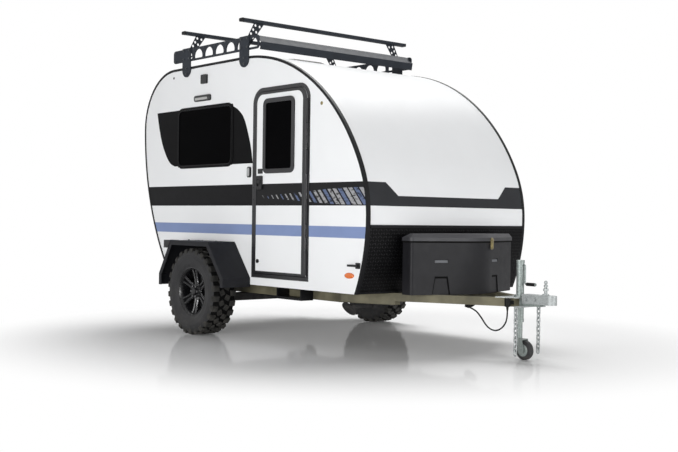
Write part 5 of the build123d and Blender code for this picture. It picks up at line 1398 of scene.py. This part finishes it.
@dataclass
class RoofRack:
    """Bolts, rivets and cross bar caps of the roof rack."""

    maker: Maker
    stamps: Stamps
    post_stations: Flat = (0.740, 1.637)
    post_face: float = 0.8863
    truss_face: float = 0.878
    post_bolts: Tuple[Flat, ...] = (  # ahead of the post's middle, height
        (-0.045, 2.505), (0.045, 2.505), (-0.045, 2.432), (0.045, 2.432), (0.0, 2.345), (0.0, 2.295))
    end_station: float = 0.545
    end_heights: Flat = (2.425, 2.500)
    web_stations: Tuple[float, ...] = (0.842, 1.008, 1.091, 1.174, 1.257, 1.340, 1.423, 1.506, 1.8265)
    web_heights: Flat = (2.4115, 2.508)
    cap_ahead: float = 0.028     # middle of a cross bar ahead of its post
    cap_height: float = 2.655
    cap_form: Point = (0.062, 0.030, 0.008)  # width, height and corner radius
    cap_sections: Tuple[Flat, ...] = ((0.928, 1.0), (0.937, 1.0), (0.941, 0.86))  # distance across, share

    def fastenings(self) -> None:
        """Bolts through posts and trusses, and rivets between the trusses' cut-outs."""
        bolts: List[Spot] = []
        rivets: List[Spot] = []
        for _, side in SIDES:
            out = facing(sideways(side))
            post, truss = side * self.post_face, side * self.truss_face
            bolts += [Spot((at(station + ahead), post, height), out)
                      for station in self.post_stations for ahead, height in self.post_bolts]
            bolts += [Spot((at(self.end_station), truss, height), out) for height in self.end_heights]
            rivets += [Spot((at(station), truss, height), out)
                       for station in self.web_stations for height in self.web_heights]
        self.stamps.bolts("rack_bolts", bolts, "bolt_dark", "galvanised", (0.0075, 0.006, 0.0105))
        self.stamps.rivets("rack_rivets", rivets, "bolt_dark", "galvanised", 0.0055)

    def build(self) -> None:
        """Make the bolts, rivets and end caps."""
        self.fastenings()
        wide, tall, corner = self.cap_form
        mesh = bmesh.new()
        for station in self.post_stations:
            along = at(station + self.cap_ahead)
            for _, side in SIDES:
                loops = [[(along + aside, side * across, height) for aside, height in
                          rounded(wide * share, tall * share, corner, (0.0, self.cap_height))]
                         for across, share in self.cap_sections]
                ring_loop(mesh, loops, caps=True)
        self.maker.piece("crossbar_caps", mesh, "satin_trim", "black_trim")


@dataclass
class Tongue:
    """Coupler, jack, chains and tool box details."""

    maker: Maker
    stamps: Stamps
    jack: Vector = field(default_factory=lambda: Vector((at(3.905), 0.0, 0.0)))
    chain_station: float = 3.975
    chain_half: float = 0.128
    chain_links: int = 10
    link_pitch: float = 0.032
    first_link: float = 0.3487
    latch_foot: Flat = (4.140, 0.480)            # station and height
    spindle: Tuple[Flat, ...] = (                # height above the foot and radius
        (0.0, 0.0), (0.0, 0.024), (0.010, 0.024), (0.012, 0.012), (0.030, 0.011), (0.032, 0.019),
        (0.048, 0.019), (0.051, 0.010), (0.058, 0.010), (0.060, 0.015), (0.072, 0.015), (0.076, 0.009),
        (0.082, 0.009), (0.086, 0.013), (0.098, 0.012), (0.105, 0.006), (0.105, 0.0))
    coupler_bolts: Flat = (3.995, 4.075)         # stations
    coupler_half: float = 0.041
    coupler_height: float = 0.447
    flange_radius: float = 0.036
    flange_height: float = 0.466
    flange_turn: float = 0.5                     # turn of the flange's bolt ring
    tube_radius: float = 0.0284
    collars: Tuple[Point, ...] = (               # low, high, radius
        (0.700, 0.7235, 0.0305), (0.655, 0.668, 0.0300), (0.272, 0.296, 0.0305))
    grip_ahead: float = 0.0445
    grip_height: float = 0.550
    grip_start: float = 0.016
    grip_end: float = 0.096
    grip_core: float = 0.010
    grip_ribs: int = 9
    rib_pitch: float = 0.0088
    rib: Tuple[Flat, ...] = (                    # distance along and radius
        (0.0, 0.0112), (0.002, 0.0128), (0.006, 0.0128), (0.008, 0.0112))
    caster: Flat = (3.955, 0.070)                # station and height of the jack wheel
    caster_hub: Tuple[Flat, ...] = ((0.0245, 0.007), (0.0262, 0.018), (0.0262, 0.042), (0.0245, 0.046))
    box_rear: float = 3.247
    box_low: float = 0.450
    box_half: float = 0.559
    box_side: float = 0.094
    box_nose: float = 0.285
    box_bow: float = 0.500
    box_corner: float = 0.025
    # dark strip under the lid's lap: painted shadow of the gap
    lid_gap_shadow_heights: Flat = (0.8375, 0.8498)              # low and high
    lid_gap_shadow_grow: Flat = (-0.001, 0.003)          # inner and outer face
    fronts: Tuple[Tuple[str, float], ...] = (("right", -0.325), ("left", 0.235))  # name, Y of its middle
    # pale plate painted as a highlight on each grip
    grip_form: Point = (0.106, 0.018, 0.004)     # width, height and corner radius
    grip_middle: Flat = (0.0, 0.248)
    grip_faces: Flat = (-0.007, -0.0025)         # ahead of the box's front
    arch_shadow_faces: Flat = (-0.0068, -0.0040)
    arch_shadow: Tuple[Flat, ...] = (                   # painted shadow along the top and sides of a foot recess, across and up
        (-0.0755, 0.001), (-0.0525, 0.1365), (0.0525, 0.1365), (0.0755, 0.001),
        (0.0690, 0.001), (0.0470, 0.1220), (-0.0470, 0.1220), (-0.0690, 0.001))
    latch_at: Point = (0.155, 0.8313, 0.0083)    # Y, height and distance ahead of the box's front
    latch_layers: Tuple[Tuple[float, ...], ...] = (  # width, height, corner, middle, low, high
        (0.038, 0.090, 0.006, 0.0, 0.0, 0.004), (0.026, 0.046, 0.006, -0.014, 0.004, 0.010),
        (0.030, 0.018, 0.005, 0.028, 0.004, 0.012), (0.012, 0.060, 0.004, -0.008, 0.010, 0.0138))

    @property
    def box_rake(self) -> float:
        """Slope of the tool box's front faces."""
        return (self.box_nose - self.box_side) / self.box_half

    def chains(self) -> None:
        """Round-wire links in place of the plain ones."""
        upright = Matrix.Rotation(math.pi / 2, 3, "Y")
        crossed = Matrix.Rotation(math.pi / 2, 3, "Z") @ upright
        along = at(self.chain_station)
        spots = [Spot((along, side * self.chain_half, self.first_link - index * self.link_pitch),
                      upright if index % 2 else crossed)
                 for _, side in SIDES for index in range(self.chain_links)]
        links = self.stamps.press(self.stamps.link, "chain_links", spots, "bright_zinc", "galvanised",
                                  smooth_deg=50.0)
        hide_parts("safety_chains")

    def coupler(self) -> None:
        """Latch spindle, side bolts and the jack flange's bolts."""
        mesh = bmesh.new()
        station, height = self.latch_foot
        turned(mesh, self.spindle, Vector((at(station), 0.0, height)), UP, 24, closed=False)
        latch = self.maker.piece("latch_spindle", mesh, "bright_zinc", "galvanised")
        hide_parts("coupler_latch")
        spots = [Spot((at(along), side * self.coupler_half, self.coupler_height), facing(sideways(side)))
                 for _, side in SIDES for along in self.coupler_bolts]
        self.stamps.bolts("coupler_bolts", spots, "bright_zinc", "galvanised", (0.012, 0.011, 0.017))
        reach = self.flange_radius
        flange = [Spot((self.jack.x + reach * math.cos(turn), reach * math.sin(turn), self.flange_height),
                       facing(UP)) for turn in (step + self.flange_turn for step in turns(6))]
        self.stamps.bolts("jack_flange_bolts", flange, "bright_zinc", "galvanised", (0.005, 0.006, 0.007))

    def jack_details(self) -> None:
        """Collars on the jack tube, ribs on its grip and hub faces on its wheel."""
        collars, grip, hubs = bmesh.new(), bmesh.new(), bmesh.new()
        tube = self.tube_radius
        for low, high, radius in self.collars:
            turned(collars, [(low, tube), (low, radius), (high, radius), (high, tube)], self.jack, UP, 36)
        ribs = [(self.grip_start + index * self.rib_pitch + along, radius)
                for index in range(self.grip_ribs) for along, radius in self.rib]
        turned(grip, [(self.grip_start, self.grip_core), *ribs, (self.grip_end, self.grip_core)],
               Vector((self.jack.x + self.grip_ahead, 0.0, self.grip_height)), Vector((1.0, 0.0, 0.0)), 24)
        axle = Vector((at(self.caster[0]), 0.0, self.caster[1]))
        for _, side in SIDES:
            turned(hubs, self.caster_hub, axle, sideways(side), 32, closed=False)
        self.maker.piece("jack_collars", collars, "zinc", "galvanised")
        self.maker.piece("crank_grip", grip, "cord_rubber", "black_rubber")
        self.maker.piece("caster_hubs", hubs, "zinc", "galvanised", "jack_wheel")

    def box_plan(self, grow: float) -> List[Flat]:
        """Plan of the tool box's sides and front, from its right rear to its left rear.

        Args:
            grow: distance the plan is grown by.

        Returns:
            The points, as X and Y.
        """
        lean = math.atan(self.box_rake)
        corner_back = self.box_corner * (1.0 - math.sin(lean)) / math.cos(lean)
        corner_x = at(self.box_rear + self.box_side) - corner_back
        corner_y = self.box_corner - self.box_half
        nose_x = at(self.box_rear + self.box_nose) - self.box_bow / math.cos(lean)
        half = [(at(self.box_rear), -self.box_half - grow)]
        for centre_x, centre_y, radius, start, end, steps in (
                (corner_x, corner_y, self.box_corner + grow, -math.pi / 2, -lean, 4),
                (nose_x, 0.0, self.box_bow + grow, -lean, 0.0, 6)):
            half += [(centre_x + radius * math.cos(turn), centre_y + radius * math.sin(turn))
                     for turn in levels(start, end, steps)]
        return [*half, *((along, -across) for along, across in reversed(half[:-1]))]

    def lid_gap_shadow(self) -> None:
        """Dark strip along the top of the tool box, under the lid's lap: painted shadow of the gap under the
        lid.
        """
        mesh = bmesh.new()
        low, high = self.lid_gap_shadow_heights
        inner_line, outer_line = (self.box_plan(grow) for grow in self.lid_gap_shadow_grow)
        ring_loop(mesh, [[(*inner, low), (*outer, low), (*outer, high), (*inner, high)]
                         for inner, outer in zip(inner_line, outer_line)], caps=True)
        self.maker.piece("lid_gap_shadow", mesh, "black_rubber_and_painted_shade", "black_rubber")

    def on_front(self, middle: float, height: float, ahead: float = 0.0) -> Placer:
        """Places flat coordinates on one of the tool box's front faces, thickness outward.

        Args:
            middle: Y of their origin.
            height: height of their origin.
            ahead: distance of their plane from the face.

        Returns:
            The placing function.
        """
        way = Vector((1.0, math.copysign(self.box_rake, middle), 0.0)).normalized()
        along = Vector((-way.y, way.x, 0.0))
        face_x = at(self.box_rear) + self.box_nose - abs(middle) * self.box_rake
        foot = Vector((face_x, middle, height)) + way * ahead
        return lambda one, two, out: tuple(foot + along * one + UP * two + way * out)

    def tool_box(self) -> None:
        """Pale plates painted as highlights on the grips, dark edges painted as shadow in the foot recesses,
        and the draw latch.
        """
        for name, middle in self.fronts:
            place = self.on_front(middle, self.box_low)
            for kind, outline, faces, finish in (
                    ("grip", rounded(*self.grip_form, self.grip_middle), self.grip_faces, "grip_painted_highlight"),
                    ("arch_shadow", self.arch_shadow, self.arch_shadow_faces, "black_rubber_and_painted_shade")):
                self.maker.plate(f"box_{kind}_{name}", outline, place, faces, finish, "box_plastic")
        mesh, place = bmesh.new(), self.on_front(*self.latch_at)
        for wide, tall, corner, middle, low, high in self.latch_layers:
            slab(mesh, rounded(wide, tall, corner, (0.0, middle)), place, low, high)
        latch = self.maker.piece("box_latch", mesh, "brass_plate", "brass", "tool_box_lid")
        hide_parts("tool_box_latch")

    def build(self) -> None:
        """Make the tongue's pieces."""
        self.chains()
        self.coupler()
        self.jack_details()
        self.lid_gap_shadow()
        self.tool_box()


@dataclass
class PowerCable:
    """Power cable hanging from its clip under the rail to its parked plug."""

    maker: Maker
    diameter: float = 0.011
    length: float = 0.47
    route: Tuple[Point, ...] = (  # ahead of the body, Y, height
        (0.410, -0.237, 0.370), (0.462, -0.222, 0.354), (0.505, -0.205, 0.300), (0.542, -0.188, 0.238),
        (0.590, -0.172, 0.208), (0.640, -0.160, 0.216), (0.682, -0.153, 0.253), (0.705, -0.150, 0.305),
        (0.705, -0.150, 0.362),
    )

    def build(self) -> None:
        curve = bpy.data.curves.new("power_cable_line", "CURVE")
        curve.dimensions = "3D"
        curve.bevel_depth = self.diameter / 2
        curve.bevel_resolution = 4
        curve.use_fill_caps = True
        curve.materials.append(self.maker.finishes["cord_rubber"])
        line = curve.splines.new("NURBS")
        line.points.add(len(self.route) - 1)
        for point, (ahead, across, height) in zip(line.points, self.route):
            point.co = (at(BODY_LENGTH + ahead), across, height, 1.0)
        line.order_u = 3
        line.use_endpoint_u = True
        line.resolution_u = 12
        cable = show(bpy.data.objects.new("power_cable_line", curve))
        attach(cable, TRAILER)
        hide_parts("power_cable")
        start = self.route[0]
        at(BODY_LENGTH + start[0])
        LOG.info("piece power_cable_line on %s", TRAILER)


class Dress:
    """Gives every solid of the frame its finish."""

    LOOKS: Dict[str, Tuple[str, ...]] = {
        "gelcoat_white": ("wall_right", "wall_left", "front_panel", "roof_panel", "rear_panel", "door_leaf"),
        "floor_board": ("floor_panel",),
        "satin_trim": ("corner_mouldings", "vent_base", "entry_step"),
        "pane_frame_black": ("window_frames",),
        "door_trim_grey": ("door_frame", "door_trim"),
        "guard_black": ("front_guard",),
        "tinted_pane": ("window_glass", "door_glass"),
        "powder_coat": ("fender_right", "fender_left"),
        "rack_coat": ("rack_trusses", "rack_posts", "rack_struts", "rack_crossbars", "rack_fairing"),
        "axle_paint": ("axle_beam", "axle_arms", "stabilizer_brackets", "stabilizer_front_right",
                       "stabilizer_front_left", "stabilizer_rear_right", "stabilizer_rear_left"),
        "smoked_dome": ("vent_lid",),
        "tan_steel": ("main_rails", "cross_members", "tongue_rails"),
        "zinc": ("tongue_tube", "jack_tube", "jack_leg", "jack_fork", "jack_crank"),
        "bright_zinc": ("coupler", "coupler_latch", "chain_eyes", "safety_chains"),
        "tread_rubber": ("tyre_right", "tyre_left"),
        "alloy_black": ("rim_right", "rim_left"),
        "box_moulding": ("tool_box",),
        "lid_moulding_painted_highlight": ("tool_box_lid",),
        "brass_plate": ("tool_box_latch",),
        "amber_lens": ("marker_lamps",),
        "red_lens": ("tail_lamps",),
        "lamp_black": ("porch_lamp", "wall_fittings", "door_handle"),
        "cord_rubber": ("power_cable", "cable_gland", "cable_plug", "plug_holder"),
        "caster_tread": ("jack_wheel",),
    }

    def __init__(self, finishes: Finishes) -> None:
        for finish, nodes in self.LOOKS.items():
            for node in nodes:
                slots = frame["nodes"][node].data.materials
                slots.clear()
                slots.append(finishes[finish])


@dataclass
class Studio:
    """Pale floor, soft lights and the camera at the photograph's angle."""

    camera_place: Point = (6.794, -5.997, 1.011)
    yaw: float = math.radians(139.632)
    pitch: float = math.radians(-0.423)
    roll: float = math.radians(0.760)
    lens: float = 56.02
    world_strength: float = 0.17
    polish: float = 0.13
    fade_from: float = 1.9
    fade_to: float = 3.4

    def floor(self) -> None:
        """Large pale floor with a little gloss, plain white to the camera further out."""
        data = bpy.data.meshes.new("floor")
        reach, level = 60.0, -0.0005
        corners = ((-1, -1), (1, -1), (1, 1), (-1, 1))
        data.from_pydata([(one * reach, two * reach, level) for one, two in corners], [], [(0, 1, 2, 3)])
        tree = ShaderTree("pale_floor")
        matt = tree.shade(Base_Color=(0.94, 0.94, 0.94), Roughness=0.9, Specular_IOR_Level=0.0)
        data.materials.append(matt)
        mirror = tree.node("ShaderNodeBsdfGlossy", sockets={"Color": WHITE, "Roughness": 0.06})
        polished = tree.node("ShaderNodeMixShader", sockets={
            0: self.polish, 1: Wire(tree, tree.surface.outputs[0]), 2: mirror})
        along, across, _ = tree.axes()
        far = (along * along + across * across).smooth(self.fade_from ** 2, self.fade_to ** 2)
        seen = tree.node("ShaderNodeLightPath", output="Is Camera Ray")
        white = tree.node("ShaderNodeEmission", sockets={"Color": WHITE, "Strength": 1.0})
        mixed = tree.node("ShaderNodeMixShader", sockets={0: far * seen, 1: polished, 2: white})
        tree.feed(tree.tree.nodes["Material Output"].inputs["Surface"], mixed)
        show(bpy.data.objects.new("floor", data))

    def world(self) -> None:
        """White surround: plain white to the camera and in reflections, softer as a light."""
        world = bpy.data.worlds.new("studio")
        bpy.context.scene.world = world
        world.use_nodes = True
        tree = NodeTree(world.node_tree)
        back = tree.tree.nodes["Background"]
        rays = tree.add("ShaderNodeLightPath").outputs
        seen = rays["Is Camera Ray"]
        for kind in ("Is Glossy Ray", "Is Transmission Ray"):
            seen = tree.add("ShaderNodeMath", {"operation": "MAXIMUM"}, {0: seen, 1: rays[kind]}).outputs[0]
        level = tree.add("ShaderNodeMapRange", sockets={
            "Value": seen, "To Min": self.world_strength, "To Max": 1.0})
        tree.feed(back.inputs["Color"], WHITE)
        tree.feed(back.inputs["Strength"], level.outputs[0])

    def lights(self) -> None:
        """Three soft boxes: low along the right, low ahead of the nose, and overhead from behind."""
        boxes = (  # name, place, aim, width, depth, power
            ("key", (3.5, -9.0, 1.15), (0.0, 0.0, 1.3), 8.0, 2.0, 620.0),
            ("nose", (9.5, 1.0, 1.25), (1.0, 0.0, 1.3), 5.0, 2.0, 312.0),
            ("top", (-3.2, 4.2, 10.5), (0.3, -0.4, 0.0), 8.0, 7.0, 1020.0),
        )
        for name, place, aim, width, depth, power in boxes:
            lamp = bpy.data.lights.new(name, "AREA")
            lamp.shape = "RECTANGLE"
            lamp.size, lamp.size_y, lamp.energy = width, depth, power
            box = show(bpy.data.objects.new(name, lamp))
            box.location = place
            box.rotation_euler = (Vector(aim) - Vector(place)).to_track_quat("-Z", "Y").to_euler()

    def camera(self) -> None:
        """Camera where the photograph was taken from."""
        ahead = Vector((math.cos(self.yaw) * math.cos(self.pitch), math.sin(self.yaw) * math.cos(self.pitch),
                        math.sin(self.pitch)))
        level = Vector((math.sin(self.yaw), -math.cos(self.yaw), 0.0))
        upright = level.cross(ahead)
        right = math.cos(self.roll) * level + math.sin(self.roll) * upright
        up = math.cos(self.roll) * upright - math.sin(self.roll) * level
        data = bpy.data.cameras.new("camera")
        data.lens = self.lens
        data.sensor_width = 36.0
        data.sensor_fit = "HORIZONTAL"
        data.clip_end = 300.0
        camera = show(bpy.data.objects.new("camera", data))
        turn = Matrix((right, up, -ahead)).transposed().to_4x4()
        camera.matrix_world = Matrix.Translation(self.camera_place) @ turn
        bpy.context.scene.camera = camera

    def build(self) -> None:
        """Set up the floor, light and camera."""
        bpy.context.scene.view_settings.view_transform = "Standard"
        self.floor()
        self.world()
        self.lights()
        self.camera()


def main() -> None:
    """Build the studio and the trailer's pieces in order."""
    logging.basicConfig(level=logging.INFO, format="%(message)s")
    Studio().build()
    finishes = Finishes()
    maker = Maker(finishes)
    stamps = Stamps(maker)
    Dress(finishes)
    PowerCable(maker).build()
    Cabin(maker, stamps).build()
    for name, side in SIDES:
        Wheel(maker, stamps, name, float(side)).build()
    Fenders(maker, stamps).build()
    RoofRack(maker, stamps).build()
    Tongue(maker, stamps).build()


if __name__ == "__main__":
    main()
